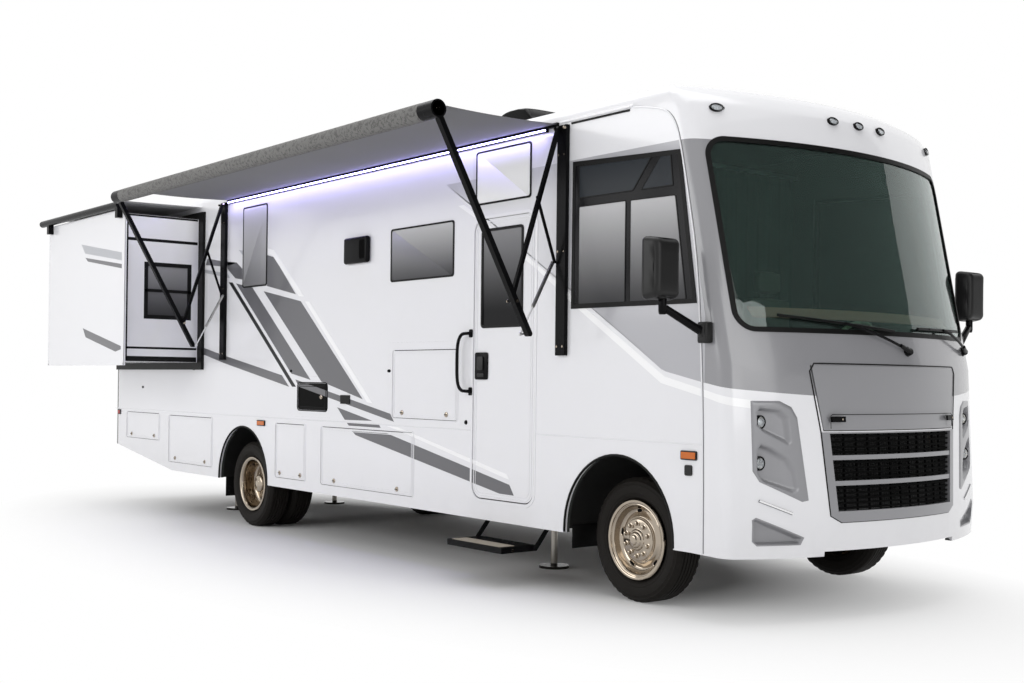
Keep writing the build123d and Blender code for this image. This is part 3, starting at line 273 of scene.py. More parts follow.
finishes = {
    "gelcoat": newFinish("gelcoatWhite", tones["white"], 0.22, coat=0.5, drift=0.03, depth=0.03, film=0.25),
    "stripeGrey": newFinish("vinylGrey", tones["stripeGrey"], 0.3, coat=0.3, drift=0.1, driftScale=3.0),
    "stripeLight": newFinish("vinylLight", tones["stripeLight"], 0.3, coat=0.3, drift=0.05),
    "brightWhite": newFinish("vinylWhite", tones["brightWhite"], 0.25, coat=0.4, drift=0.02),
    "stripeBlack": newFinish("vinylBlack", (0.01, 0.01, 0.011), 0.35, specular=0.25),
    "silver": newFinish("metallicSilver", tones["silver"], 0.36, metallic=0.15, coat=0.5, drift=0.05,
        grain=900.0),
    "chassis": newFinish("chassisPaint", (0.008, 0.008, 0.008), 0.5, drift=0.35, driftScale=4.0, depth=0.2,
        film=0.1, specular=0.2),
    "rubber": newFinish("tyreRubber", (0.012, 0.0105, 0.009), 0.62, drift=0.3, driftScale=6.0, grain=500.0,
        depth=0.25, specular=0.12),
    "gasket": newFinish("gasketRubber", (0.005, 0.005, 0.005), 0.45, drift=0.2, depth=0.1, specular=0.14),
    "blackPlastic": newFinish("mouldedBlack", (0.009, 0.009, 0.009), 0.4, drift=0.2, grain=700.0, depth=0.2,
        specular=0.28),
    "satinBlack": newFinish("powderBlack", (0.004, 0.004, 0.0045), 0.26, drift=0.2, grain=600.0, depth=0.08,
        specular=0.07),
    # polished steel's tone is darker and warmer than bare steel: partly the steel's colour, partly a painted
    # reflection of a dark, warm surround
    "chrome": newFinish("polishedSteel", (0.4, 0.345, 0.28), 0.09, metallic=1.0, drift=0.1, driftScale=9.0,
        depth=0.02),
    "steel": newFinish("platedSteel", (0.42, 0.42, 0.41), 0.28, metallic=1.0, drift=0.25, driftScale=8.0,
        depth=0.05),
    "aluminium": newFinish("satinAluminium", (0.66, 0.66, 0.67), 0.32, metallic=0.9, drift=0.06, depth=0.04),
    "lining": newFinish("cabLining", tones["lining"], 0.8, drift=0.15, driftScale=5.0, depth=0.2),
    "dash": newFinish("dashVinyl", (0.42, 0.4, 0.29), 0.6, drift=0.15, grain=400.0, depth=0.3),
    "leather": newFinish("seatLeather", (0.12, 0.1, 0.085), 0.5, drift=0.15, driftScale=7.0, grain=260.0,
        depth=0.35),
    "castIron": newFinish("castIron", (0.05, 0.05, 0.05), 0.6, metallic=0.4, drift=0.3, depth=0.4),
    "acShroud": newFinish("shroudBlack", (0.004, 0.004, 0.004), 0.2, drift=0.2, grain=500.0, depth=0.05,
        specular=0.08),
    "tan": newFinish("gripTread", (0.36, 0.32, 0.25), 0.75, drift=0.25, driftScale=30.0, grain=800.0,
        depth=0.9),
    "hatchBlack": newFinish("hatchBlack", (0.003, 0.003, 0.003), 0.34, drift=0.2, grain=600.0, depth=0.08,
        specular=0.02),
    "holeBlack": newFinish("shadowBlack", (0.003, 0.003, 0.003), 0.9, drift=0.1, specular=0.05),
}


def newLens(name, color, transmission, roughness=0.08, emission=0.0, depth=0.15):
    lens = newFinish(name, color, roughness, drift=0.05, driftScale=20.0, grain=260.0, depth=depth)
    shader = lens.node_tree.nodes["Principled BSDF"]
    shader.inputs["Transmission Weight"].default_value = transmission
    if emission:
        shader.inputs["Emission Color"].default_value = (*color, 1)
        shader.inputs["Emission Strength"].default_value = emission
    return lens


finishes["amberLens"] = newLens("amberLens", (0.75, 0.17, 0.01), 0.25)
finishes["redLens"] = newLens("redLens", (0.45, 0.012, 0.01), 0.25)
finishes["clearLens"] = newLens("clearLens", (0.85, 0.88, 0.9), 0.85, 0.03)
finishes["reverseLens"] = newLens("whiteLens", (0.75, 0.75, 0.76), 0.35)
finishes["led"] = newLens("ledStrip", (0.45, 0.42, 1.0), 0.0, 0.4, 14.0)


def makeWood():
    wood = newFinish("plankFloor", (0.2, 0.14, 0.09), 0.45, drift=0.25, driftScale=4.0, grain=120.0,
            depth=0.3)

    def planks(tree, source):
        x, y, z = objectAxes(tree)
        line = addMath(tree, "FRACT", addMath(tree, "MULTIPLY", y, 7.0))
        seam = addMath(tree, "LESS_THAN", line, 0.03)
        return addMix(tree, seam, source, (0.03, 0.02, 0.015, 1))

    baseColorInto(wood, planks)
    return wood


finishes["wood"] = makeWood()


def makeLined(name, test):
    # white outside and dark lining on the faces that the test picks out
    paint = newFinish(name, tones["white"], 0.22, coat=0.5, drift=0.03, depth=0.03, film=0.25)
    baseColorInto(paint, lambda tree, source: addMix(tree, test(tree), source, (*tones["lining"], 1)))
    return paint


def insideWall(tree):
    x, y, z = objectAxes(tree)
    return addMath(tree, "LESS_THAN", addMath(tree, "ABSOLUTE", y), wallY - 0.025)


def insideRoof(tree):
    x, y, z = objectAxes(tree)
    crown = addMath(tree, "MULTIPLY_ADD", addMath(tree, "MULTIPLY", y, y), -0.0424,
            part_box("roof_shell")[1].z - 0.067)
    eaves = addMath(tree, "MULTIPLY_ADD", addMath(tree, "SUBTRACT", z, 3.117), 0.5,
            addMath(tree, "ABSOLUTE", y))
    return addMath(tree, "MULTIPLY", addMath(tree, "LESS_THAN", z, crown),
            addMath(tree, "LESS_THAN", eaves, wallY - 0.0165))


def insideRear(tree):
    x, y, z = objectAxes(tree)
    return addMath(tree, "GREATER_THAN", x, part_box("rear_wall")[0].x + 0.025)


finishes["wallPaint"] = makeLined("wallPaint", insideWall)
finishes["roofPaint"] = makeLined("roofPaint", insideRoof)
finishes["rearPaint"] = makeLined("rearPaint", insideRear)

noseLook = {"silverTop": 2.905, "silverLow": 1.568, "lowSlope": -0.186, "lineTop": 1.571, "topSlope": -0.2455,
        "lineLow": 1.543, "lineSlope": -0.2658, "lineEndX": 0.985, "seamX": 0.748, "seamSlope": -0.2,
        "seamZ": 1.83}


def makeNosePaint():
    # silver band between two lines, a bright line under it, and dark lining inside
    paint = newFinish("nosePaint", tones["white"], 0.24, coat=0.5, drift=0.03, depth=0.03, film=0.25)

    def bands(tree, source):
        x, y, z = objectAxes(tree)
        low = addMath(tree, "MULTIPLY_ADD", x, noseLook["lowSlope"], noseLook["silverLow"])
        silver = addMath(tree, "MULTIPLY", addMath(tree, "GREATER_THAN", z, low),
                addMath(tree, "LESS_THAN", z, noseLook["silverTop"]))
        above = addMath(tree, "MAXIMUM", addMath(tree, "SUBTRACT", z, noseLook["seamZ"]), 0.0)
        seam = addMath(tree, "MULTIPLY_ADD", above, noseLook["seamSlope"], noseLook["seamX"])
        silver = addMath(tree, "MULTIPLY", silver, addMath(tree, "GREATER_THAN", x, seam))
        lineTop = addMath(tree, "MULTIPLY_ADD", x, noseLook["topSlope"], noseLook["lineTop"])
        lineLow = addMath(tree, "MULTIPLY_ADD", x, noseLook["lineSlope"], noseLook["lineLow"])
        line = addMath(tree, "MULTIPLY", addMath(tree, "LESS_THAN", z, lineTop),
                addMath(tree, "GREATER_THAN", z, lineLow))
        line = addMath(tree, "MULTIPLY", line, addMath(tree, "LESS_THAN", x, noseLook["lineEndX"]))
        line = addMath(tree, "MULTIPLY", line, addMath(tree, "GREATER_THAN", x, seam))
        normal = tree.nodes.new("ShaderNodeSeparateXYZ")
        tree.links.new(tree.nodes.new("ShaderNodeNewGeometry").outputs["Normal"], normal.inputs[0])
        inner = addMath(tree, "MULTIPLY", addMath(tree, "LESS_THAN", normal.outputs["X"], -0.05),
                addMath(tree, "LESS_THAN", normal.outputs["Z"], 0.25))
        inner = addMath(tree, "MULTIPLY", inner,
                addMath(tree, "LESS_THAN", addMath(tree, "ABSOLUTE", y), wallY - 0.02))
        color = addMix(tree, silver, source, (*tones["silver"], 1))
        color = addMix(tree, line, color, (*tones["brightWhite"], 1))
        return addMix(tree, inner, color, (*tones["lining"], 1))

    baseColorInto(paint, bands)
    return paint


finishes["nosePaint"] = makeNosePaint()
print("finishes:", len(finishes))


# mesh helpers
def newPiece(name, mesh, body, finish, sharp=0.6, tidy=0.00003, recalc=True):
    bmesh.ops.remove_doubles(mesh, verts=mesh.verts, dist=tidy)
    if recalc:
        bmesh.ops.recalc_face_normals(mesh, faces=mesh.faces)
    data = bpy.data.meshes.new(name)
    mesh.to_mesh(data)
    mesh.free()
    for one in finish if isinstance(finish, (list, tuple)) else (finish,):
        data.materials.append(finishes[one])
    for face in data.polygons:
        face.use_smooth = True
    data.set_sharp_from_angle(angle=sharp)
    piece = bpy.data.objects.new(name, data)
    scene.collection.objects.link(piece)
    if body:
        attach(piece, body)
    return piece


def bevelSharp(mesh, width, segments=2, angle=0.5, edges=None):
    chosen = [edge for edge in (edges or mesh.edges)
            if len(edge.link_faces) == 2 and edge.calc_face_angle(0) > angle]
    bmesh.ops.bevel(mesh, geom=chosen, offset=width, offset_type="OFFSET", affect="EDGES", segments=segments,
            profile=0.5, material=-1, clamp_overlap=True)


def addBox(mesh, low, high, turn=None):
    low, high = Vector(low), Vector(high)
    size = high - low
    place = Matrix.Translation((low + high) / 2)
    if turn is not None:
        place = place @ turn
    return bmesh.ops.create_cube(mesh, size=1, matrix=place @ Matrix.Diagonal((*size, 1)))["verts"]


def addRod(mesh, start, end, radius, segments=16, endRadius=None):
    start, end = Vector(start), Vector(end)
    along = end - start
    turn = along.to_track_quat("Z", "Y").to_matrix().to_4x4()
    return bmesh.ops.create_cone(mesh, cap_ends=True, segments=segments, radius1=radius,
            radius2=radius if endRadius is None else endRadius, depth=along.length,
            matrix=Matrix.Translation((start + end) / 2) @ turn)["verts"]


def addPlate(mesh, corners, depth, radius=0.0, steps=5, rim=0.0):
    # a flat plate, or with rim a flat ring, of rounded outline, pushed out by the depth vector
    before = set(mesh.faces)
    verts = [mesh.verts.new(corner) for corner in corners]
    mesh.faces.new(verts)
    if radius:
        bmesh.ops.bevel(mesh, geom=verts, offset=radius, offset_type="OFFSET", affect="VERTICES",
                segments=steps,
                profile=0.5, material=-1)
    faces = [face for face in mesh.faces if face not in before]
    if rim:
        inner = faces[0]
        faces = bmesh.ops.inset_region(mesh, faces=faces, thickness=rim, use_boundary=True,
                use_even_offset=True)["faces"]
        bmesh.ops.delete(mesh, geom=[inner], context="FACES")
    grown = bmesh.ops.extrude_face_region(mesh, geom=faces)["geom"]
    bmesh.ops.translate(mesh, vec=Vector(depth),
            verts=[one for one in grown if isinstance(one, bmesh.types.BMVert)])


def addLathe(mesh, profile, centre, steps=64, axis=(0, 1, 0)):
    # profile: (radius, offset along the axis) pairs
    axis = Vector(axis)
    side = axis.orthogonal().normalized()
    verts = [mesh.verts.new(Vector(centre) + side * radius + axis * offset) for radius, offset in profile]
    edges = [mesh.edges.new(pair) for pair in zip(verts, verts[1:])]
    bmesh.ops.spin(mesh, geom=verts + edges, cent=centre, axis=axis, angle=math.tau, steps=steps,
            use_merge=True)


def tubePiece(name, points, radius, body, finish, cyclic=False, sides=3, order=3,
        straight=False):
    line = bpy.data.curves.new(name + "Line", "CURVE")
    line.dimensions = "3D"
    spline = line.splines.new("POLY" if straight else "NURBS")
    spline.points.add(len(points) - 1)
    for point, place in zip(spline.points, points):
        point.co = (*place, 1)
    if not straight:
        spline.order_u = order
        spline.use_endpoint_u = not cyclic
        spline.resolution_u = 6
    spline.use_cyclic_u = cyclic
    line.bevel_depth = radius
    line.bevel_resolution = sides
    line.use_fill_caps = not cyclic
    holder = bpy.data.objects.new(name + "Line", line)
    scene.collection.objects.link(holder)
    bpy.context.view_layer.update()
    data = bpy.data.meshes.new_from_object(holder.evaluated_get(bpy.context.evaluated_depsgraph_get()))
    mesh = bmesh.new()
    mesh.from_mesh(data)
    bpy.data.objects.remove(holder)
    bpy.data.curves.remove(line)
    bpy.data.meshes.remove(data)
    return newPiece(name, mesh, body, finish)


def islandsOf(mesh):
    seen, found = set(), []
    for vert in mesh.verts:
        if vert in seen:
            continue
        seen.add(vert)
        stack, island = [vert], []
        while stack:
            one = stack.pop()
            island.append(one)
            for edge in one.link_edges:
                other = edge.other_vert(one)
                if other not in seen:
                    seen.add(other)
                    stack.append(other)
        found.append(island)
    return found


def partOfNode(node, test=None):
    # a merged copy of a frame node, or of its loose parts whose middle passes the test
    mesh = bmesh.new()
    mesh.from_mesh(nodes[node].data)
    bmesh.ops.remove_doubles(mesh, verts=mesh.verts, dist=0.00001)
    if test:
        for island in islandsOf(mesh):
            low = Vector([min(vert.co[axis] for vert in island) for axis in range(3)])
            high = Vector([max(vert.co[axis] for vert in island) for axis in range(3)])
            if not test((low + high) / 2):
                bmesh.ops.delete(mesh, geom=island, context="VERTS")
    return mesh


def nodePiece(name, node, finish, test=None, body=None):
    piece = newPiece(name, partOfNode(node, test), body or nodes[node]["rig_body"], finish,
            recalc=False,
            tidy=0.00001)
    return piece


def onSide(side, x, z, proud=0.0):
    return Vector((x, side * (wallY + proud), z))


# shape of the curved nose
nose = {
    "heights": (0.33, 0.6, 1.54, 3.11, 3.195, 3.255, 3.3, 3.345),
    "reaches": (1.245, 1.266, 1.217, 0.874, 0.815, 0.715, 0.56, 0.26),
    "sweep": 2.74,  # radius of the front in plan
    "corner": 0.11,
}


def noseFront(y, z):
    # how far forward the nose stands at that place
    heights, reaches = nose["heights"], nose["reaches"]
    z = min(max(z, heights[0]), heights[-1])
    for index in range(len(heights) - 1):
        if z <= heights[index + 1]:
            share = (z - heights[index]) / (heights[index + 1] - heights[index])
            reach = reaches[index] + share * (reaches[index + 1] - reaches[index])
            break
    sweep, corner = nose["sweep"], nose["corner"]
    edge = (wallY - corner) / (1 - corner / sweep)
    if abs(y) <= edge:
        return reach - (sweep - math.sqrt(sweep ** 2 - y ** 2))
    turn = math.asin(edge / sweep)
    middle = reach - sweep * (1 - math.cos(turn)) - corner * math.cos(turn)
    return middle + math.sqrt(max(corner ** 2 - (abs(y) - (wallY - corner)) ** 2, 0))


def onNose(y, z, proud=0.0):
    return Vector((noseFront(y, z) + proud, y, z))


# finishes of the frame's own nodes
nodeFinishes = {
    "gelcoat": ["entry_door", "left_bay_front_door", "left_bay_middle_door", "left_bay_rear_door",
        "right_bay_long_door", "right_bay_narrow_door", "right_bay_rear_door", "right_kitchen_hatch",
        "right_rear_locker_door", "roof_vent_lid", "slide_room"],
    "wallPaint": ["left_side_wall", "right_side_wall"],
    "roofPaint": ["roof_shell"],
    "rearPaint": ["rear_wall"],
    "nosePaint": ["front_cap"],
    "chassis": ["chassis_frame", "front_axle", "rear_axle", "tie_rod", "left_knuckle", "right_knuckle",
        "lockers",
        "wheel_arch_liners"],
    "rubber": ["front_left_tyre", "front_right_tyre", "rear_left_tyres", "rear_right_tyres"],
    "chrome": ["front_left_wheel", "front_right_wheel", "rear_left_wheels", "rear_right_wheels"],
    "satinBlack": ["awning_inner_arms", "awning_links", "awning_masts", "awning_outer_arms",
        "slide_topper_roller", "step_arms", "step_tread"],
    "aluminium": ["awning_strut_rods"],
    "steel": ["awning_strut_barrels", "front_jack_legs", "rear_jack_legs"],
    "blackPlastic": ["mirrors", "wall_trim"],
    "hatchBlack": ["right_utility_hatch"],
    "silver": ["grille_frame", "service_hood"],
    "holeBlack": ["grille_slats"],
    "castIron": ["engine_block"],
    "acShroud": ["roof_air_conditioner"],
    "dash": ["dashboard"],
    "leather": ["cab_seats"],
    "wood": ["floor"],
    "clearLens": ["lamps"],
    "topperCloth": ["slide_topper_fabric"],
    "canopyCloth": ["awning_fabric"],
    "glassDark": ["window_glass", "entry_door_glass", "slide_room_glass"],
}
finishes["topperCloth"] = newFinish("topperPlain", (0.8, 0.8, 0.8), 0.7)
finishes["canopyCloth"] = newFinish("canopyPlain", (0.2, 0.2, 0.2), 0.7)
finishes["glassDark"] = newFinish("glassDark", (0.02, 0.022, 0.024), 0.04, drift=0.05, depth=0.0)


def dressNodes():
    for finish, names in nodeFinishes.items():
        for name in names:
            data = nodes[name].data
            data.materials.clear()
            data.materials.append(finishes[finish])
    bare = sorted(set(nodes) - {name for names in nodeFinishes.values() for name in names})
    print("nodes dressed, bare:", bare)


dressNodes()


# floor, light and camera
studio = {
    "floorColor": (0.93, 0.93, 0.93),
    "floorRadius": 60.0,
    "fade": (1.6, 3.1),  # metres from the middle over which the floor goes to plain white
    "middle": (-3.65, -0.4),
    "shrinkX": 0.45,
    "ambient": 0.6,
    "flagPlace": (8.2, 4.7, 6.4),
    "flagAim": (1.0, -0.2, 2.4),
    "flagSize": (13.0, 8.5),
    "lamps": [("overheadLamp", (-3.5, -1.0, 9.0), (-3.5, 0, 0), (13, 6), 430),
        ("sideLamp", (-5.0, -11.0, 4.5), (-3.5, 0, 1.4), (11, 4), 360),
        ("frontLamp", (10.0, -2.0, 4.0), (0.5, 0, 1.6), (5, 4), 165)],
}


def addStage():
    floorMesh = bmesh.new()
    bmesh.ops.create_circle(floorMesh, cap_ends=True, segments=96, radius=studio["floorRadius"])
    data = bpy.data.meshes.new("studioFloor")
    floorMesh.to_mesh(data)
    floorMesh.free()
    floor = bpy.data.objects.new("studioFloor", data)
    scene.collection.objects.link(floor)
    finish = bpy.data.materials.new("floorWhite")
    finish.use_nodes = True
    tree = finish.node_tree
    shader = tree.nodes["Principled BSDF"]
    shader.inputs["Base Color"].default_value = (*studio["floorColor"], 1)
    shader.inputs["Roughness"].default_value = 0.75
    shader.inputs["Specular IOR Level"].default_value = 0.1
    x, y, z = objectAxes(tree)
    acrossX = addMath(tree, "POWER", addMath(tree, "MULTIPLY",
            addMath(tree, "SUBTRACT", x, studio["middle"][0]),
            studio["shrinkX"]), 2.0)
    acrossY = addMath(tree, "POWER", addMath(tree, "SUBTRACT", y, studio["middle"][1]), 2.0)
    away = addMath(tree, "SQRT", addMath(tree, "ADD", acrossX, acrossY))
    start, end = studio["fade"]
    fade = addMath(tree, "DIVIDE", addMath(tree, "SUBTRACT", away, start), end - start, None, True)
    path = tree.nodes.new("ShaderNodeLightPath")
    seen = addMath(tree, "MAXIMUM", path.outputs["Is Camera Ray"],
            addMath(tree, "MAXIMUM", path.outputs["Is Glossy Ray"],
            path.outputs["Is Transmission Ray"]))
    plain = tree.nodes.new("ShaderNodeEmission")
    plain.inputs["Strength"].default_value = 1.0
    mixer = tree.nodes.new("ShaderNodeMixShader")
    tree.links.new(addMath(tree, "MULTIPLY", fade, seen), mixer.inputs[0])
    tree.links.new(shader.outputs[0], mixer.inputs[1])
    tree.links.new(plain.outputs[0], mixer.inputs[2])
    tree.links.new(mixer.outputs[0], tree.nodes["Material Output"].inputs["Surface"])
    data.materials.append(finish)


def addWorld():
    world = bpy.data.worlds.new("studioWorld")
    scene.world = world
    world.use_nodes = True
    tree = world.node_tree
    back = tree.nodes["Background"]
    back.inputs["Color"].default_value = (1, 1, 1, 1)
    path = tree.nodes.new("ShaderNodeLightPath")
    seen = addMath(tree, "MAXIMUM", path.outputs["Is Camera Ray"],
            addMath(tree, "MAXIMUM", path.outputs["Is Glossy Ray"],
            path.outputs["Is Transmission Ray"]))
    tree.links.new(addMath(tree, "MULTIPLY_ADD", seen, 1.0 - studio["ambient"], studio["ambient"]),
            back.inputs["Strength"])


def addLamps():
    for name, place, aim, size, power in studio["lamps"]:
        light = bpy.data.lights.new(name, "AREA")
        light.shape = "RECTANGLE"
        light.size, light.size_y = size
        light.energy = power
        lamp = bpy.data.objects.new(name, light)
        scene.collection.objects.link(lamp)
        lamp.location = place
        lamp.rotation_euler = (Vector(aim) - Vector(place)).to_track_quat("-Z", "Y").to_euler()


cameraLook = {"place": (5.997, -6.8205, 1.4252), "yaw": 140.551, "pitch": 0.322, "roll": 0.67, "lens": 44.8,
        "shift": (-0.033, 0.0319)}


def addCamera():
    yaw, pitch, roll = (math.radians(cameraLook[key]) for key in ("yaw", "pitch", "roll"))
    ahead = Vector((math.cos(pitch) * math.cos(yaw), math.cos(pitch) * math.sin(yaw), math.sin(pitch)))
    right = ahead.cross(Vector((0, 0, 1))).normalized()
    up = right.cross(ahead)
    tiltedRight = right * math.cos(roll) + up * math.sin(roll)
    tiltedUp = up * math.cos(roll) - right * math.sin(roll)
    data = bpy.data.cameras.new("studioCamera")
    data.lens = cameraLook["lens"]
    data.shift_x, data.shift_y = cameraLook["shift"]
    data.clip_end = 200
    camera = bpy.data.objects.new("studioCamera", data)
    scene.collection.objects.link(camera)
    turn = Matrix((tiltedRight, tiltedUp, -ahead)).transposed().to_4x4()
    camera.matrix_world = Matrix.Translation(cameraLook["place"]) @ turn
    scene.camera = camera


def addDarkFlag():
    # a black card that only mirror-like surfaces see, as beside any glossy thing in a studio
    flag = bmesh.new()
    bmesh.ops.create_grid(flag, x_segments=1, y_segments=1, size=0.5)
    bmesh.ops.transform(flag, matrix=Matrix.Diagonal((*studio["flagSize"], 1, 1)), verts=flag.verts)
    way = (Vector(studio["flagAim"]) - Vector(studio["flagPlace"])).to_track_quat("Z",
            "Y").to_matrix().to_4x4()
    bmesh.ops.transform(flag, matrix=Matrix.Translation(studio["flagPlace"]) @ way, verts=flag.verts)
    data = bpy.data.meshes.new("darkFlag")
    flag.to_mesh(data)
    flag.free()
    card = bpy.data.objects.new("darkFlag", data)
    scene.collection.objects.link(card)
    finish = bpy.data.materials.new("flagBlack")
    finish.use_nodes = True
    finish.node_tree.nodes["Principled BSDF"].inputs["Base Color"].default_value = (0.003, 0.003, 0.003, 1)
    finish.node_tree.nodes["Principled BSDF"].inputs["Specular IOR Level"].default_value = 0.0
    data.materials.append(finish)
    card.visible_camera = card.visible_diffuse = card.visible_shadow = card.visible_transmission = False


addStage()
addDarkFlag()
addWorld()
addLamps()
addCamera()
scene.view_settings.view_transform = "Standard"
print("stage ready")


# stripes laid as thin vinyl on walls, doors and hatches
openings = {
    # convex outlines in x, z on each wall: doors and hatches carry their share of a stripe, windows carry
    # none
    "right": [
        ("right_rear_locker_door", (-8.222, 0.738, -7.293, 1.03)),
        ("right_bay_rear_door", (-7.048, 0.525, -5.98, 1.022)),
        ("right_bay_narrow_door", (-4.637, 0.515, -4.075, 1.015)),
        ("right_bay_long_door", (-3.8, 0.508, -2.35, 1.012)),
        ("right_kitchen_hatch", (-2.664, 1.119, -1.766, 1.66)),
        ("right_utility_hatch", (-4.224, 1.147, -3.701, 1.384)),
        ("entry_door", (-1.571, 0.565, -0.858, 2.6)), (None, (-5.343, 2.288, -4.845, 3.062)),
        (None, (-2.707, 2.205, -1.83, 2.63)), (None, (-1.558, 2.705, -0.912, 3.098))],
    "left": [
        ("left_bay_rear_door", (-7.048, 0.525, -5.98, 1.022)),
        ("left_bay_middle_door", (-4.637, 0.515, -3.4, 1.015)),
        ("left_bay_front_door", (-2.5, 0.508, -1.05, 1.012)), (None, (-7.9, 2.15, -7.1, 2.65)),
        (None, (-4.3, 2.15, -3.4, 2.65)), (None, (-2.5, 2.05, -1.1, 2.7))],
}
cabPane = [(-0.471, 1.911), (0.683, 1.904), (0.535, 2.847), (-0.467, 2.893)]
doorPane = [(-1.463, 1.824), (-1.01, 1.824), (-1.01, 2.508), (-1.463, 2.508)]
leafGap = 0.004


def rectangle(edges, grow=0.0):
    left, low, right, high = edges
    return [(left - grow, low - grow), (right + grow, low - grow), (right + grow, high + grow),
            (left - grow, high + grow)]


def cutByOutline(mesh, outline, y):
    for (x0, z0), (x1, z1) in zip(outline, outline[1:] + outline[:1]):
        bmesh.ops.bisect_plane(mesh, geom=mesh.verts[:] + mesh.edges[:] + mesh.faces[:], dist=0.00001,
                plane_co=(x0, y, z0), plane_no=(z1 - z0, 0, x0 - x1))


def insideOutline(x, z, outline):
    return all((x1 - x0) * (z - z0) - (z1 - z0) * (x - x0) > 0
            for (x0, z0), (x1, z1) in zip(outline, outline[1:] + outline[:1]))


def layVinyl(name, finish, outlines, side, thick=skin):
    # one finish's stripes on one wall, shared out between the wall and the doors and hatches in it
    sign = -1 if side == "right" else 1
    y = sign * wallY
    mesh = bmesh.new()
    for outline in outlines:
        mesh.faces.new([mesh.verts.new((x, y, z)) for x, z in outline])
    bmesh.ops.triangulate(mesh, faces=mesh.faces[:])
    voids = [(None, cabPane)] + ([(None, doorPane)] if side == "right" else [])
    for owner, edges in openings[side]:
        if owner:
            voids.append((owner, rectangle(edges, -leafGap)))
        voids.append(("gap" if owner else None, rectangle(edges)))
    for owner, outline in voids:
        cutByOutline(mesh, outline, y)
    shares = {}
    mesh.faces.ensure_lookup_table()
    for index, face in enumerate(mesh.faces):
        middle = face.calc_center_median()
        found = [owner for owner, outline in voids if insideOutline(middle.x, middle.z, outline)]
        if not found:
            shares.setdefault("coach", []).append(index)
        elif None not in found and found != ["gap"]:
            shares.setdefault([owner for owner in found if owner != "gap"][0], []).append(index)
    for owner, kept in sorted(shares.items()):
        part = mesh.copy()
        part.faces.ensure_lookup_table()
        kept = set(kept)
        bmesh.ops.delete(part, geom=[face for index, face in enumerate(part.faces) if index not in kept],
                context="FACES")
        bmesh.ops.dissolve_limit(part, angle_limit=0.01, verts=part.verts[:], edges=part.edges[:])
        grown = bmesh.ops.extrude_face_region(part, geom=part.faces[:])["geom"]
        bmesh.ops.translate(part, vec=(0, sign * thick, 0),
                verts=[one for one in grown if isinstance(one, bmesh.types.BMVert)])
        newPiece(f"{name}_{side}_{owner}", part, owner, finish)
    mesh.free()


stripes = {
    "stripeGrey": [
        [(-5.683, 2.564), (-5.475, 2.542), (-5.361, 2.477), (-5.358, 2.373), (-5.508, 2.393),
        (-5.681, 2.496)],
        [(-6.139, 2.628), (-5.844, 2.584), (-5.471, 2.545), (-5.6, 2.53), (-5.842, 2.53), (-6.184, 2.565)],
        [(-4.845, 2.573), (-4.71, 2.545), (-4.283, 2.182), (-4.845, 2.284)],
        [(-5.487, 2.342), (-5.138, 2.283), (-3.996, 1.414), (-4.351, 1.469)],
        [(-4.908, 2.239), (-4.192, 2.116), (-3.115, 1.259), (-3.804, 1.4)],
        [(-6.238, 1.73), (-5.713, 1.64), (-4.53, 1.453), (-4.39, 1.349), (-5.711, 1.564), (-6.236, 1.662)],
        [(-4.272, 1.416), (-2.691, 1.15), (-2.635, 1.087), (-4.214, 1.353)],
        [(-3.528, 1.183), (-2.961, 1.085), (-3.4, 1.08)],
        [(-3.366, 1.055), (-2.857, 1.057), (-2.832, 1.032), (-3.332, 1.033)],
        [(-3.282, 0.99), (-2.733, 0.991), (-1.125, 0.69), (-1.072, 0.617), (-1.238, 0.619), (-3.222, 0.958)]],
    "stripeLight": [
        [(-6.237, 2.525), (-5.674, 2.448), (-5.628, 2.402), (-6.236, 2.49)],
        [(-5.441, 2.665), (-5.343, 2.65), (-5.343, 2.6)]],
    "stripeBlack": [[(-5.65, 2.362), (-5.563, 2.354), (-4.261, 1.35), (-4.331, 1.35)]],
    "brightWhite": [
        [(-4.832, 2.634), (-4.712, 2.613), (-4.13, 2.156), (-4.225, 2.161), (-4.745, 2.567), (-4.831, 2.586)],
        [(-4.113, 2.11), (-4.035, 2.107), (-2.961, 1.228), (-3.047, 1.236)],
        [(-2.75, 1.053), (-2.569, 1.046), (-1.162, 0.765), (-1.128, 0.728), (-1.169, 0.733), (-2.568, 1.021)],
        [(-1.787, 2.73), (-1.708, 2.73), (-0.834, 2.231), (-0.299, 1.893), (0.417, 1.464), (0.735, 1.39),
        (0.735, 1.345), (0.386, 1.423), (-0.378, 1.893), (-0.834, 2.193), (-1.56, 2.615)]],
}
silverSide = [(-1.942, 2.905), (-1.648, 2.74), (-0.239, 1.895), (0.385, 1.509), (0.427, 1.494),
        (0.752, 1.427),
        (0.752, 1.83), (0.538, 2.88), (0.533, 2.905)]
roomStripes = {
    "stripeLight": [[(-7.462, 2.806), (-6.34, 2.646), (-6.337, 2.567), (-7.351, 2.704)]],
    "stripeGrey": [[(-7.338, 2.658), (-6.336, 2.531), (-6.334, 2.488), (-7.27, 2.615)],
        [(-7.392, 1.925), (-6.334, 1.724), (-6.333, 1.691), (-6.473, 1.67), (-7.306, 1.828)]],
}


def makeSilverSide():
    # silver that fades into the white towards the rear and downwards there, in a tone painted lighter than
    # the nose's silver as painted light on the side wall
    finish = newFinish("silverFade", tones["sideSilverPaintedLight"], 0.36, metallic=0.15, coat=0.5, drift=0.04,
            grain=900.0)

    def fade(tree, source):
        x, y, z = objectAxes(tree)
        along = addMath(tree, "DIVIDE", addMath(tree, "ADD", x, 1.75), 1.55, None, True)
        up = addMath(tree, "DIVIDE", addMath(tree, "SUBTRACT", z, 2.35), 0.55, None, True)
        share = addMath(tree, "MAXIMUM", addMath(tree, "POWER", along, 1.6),
                addMath(tree, "MULTIPLY", up, 0.55), None, True)
        return addMix(tree, share, (*tones["white"], 1), source)

    baseColorInto(finish, fade)
    return finish


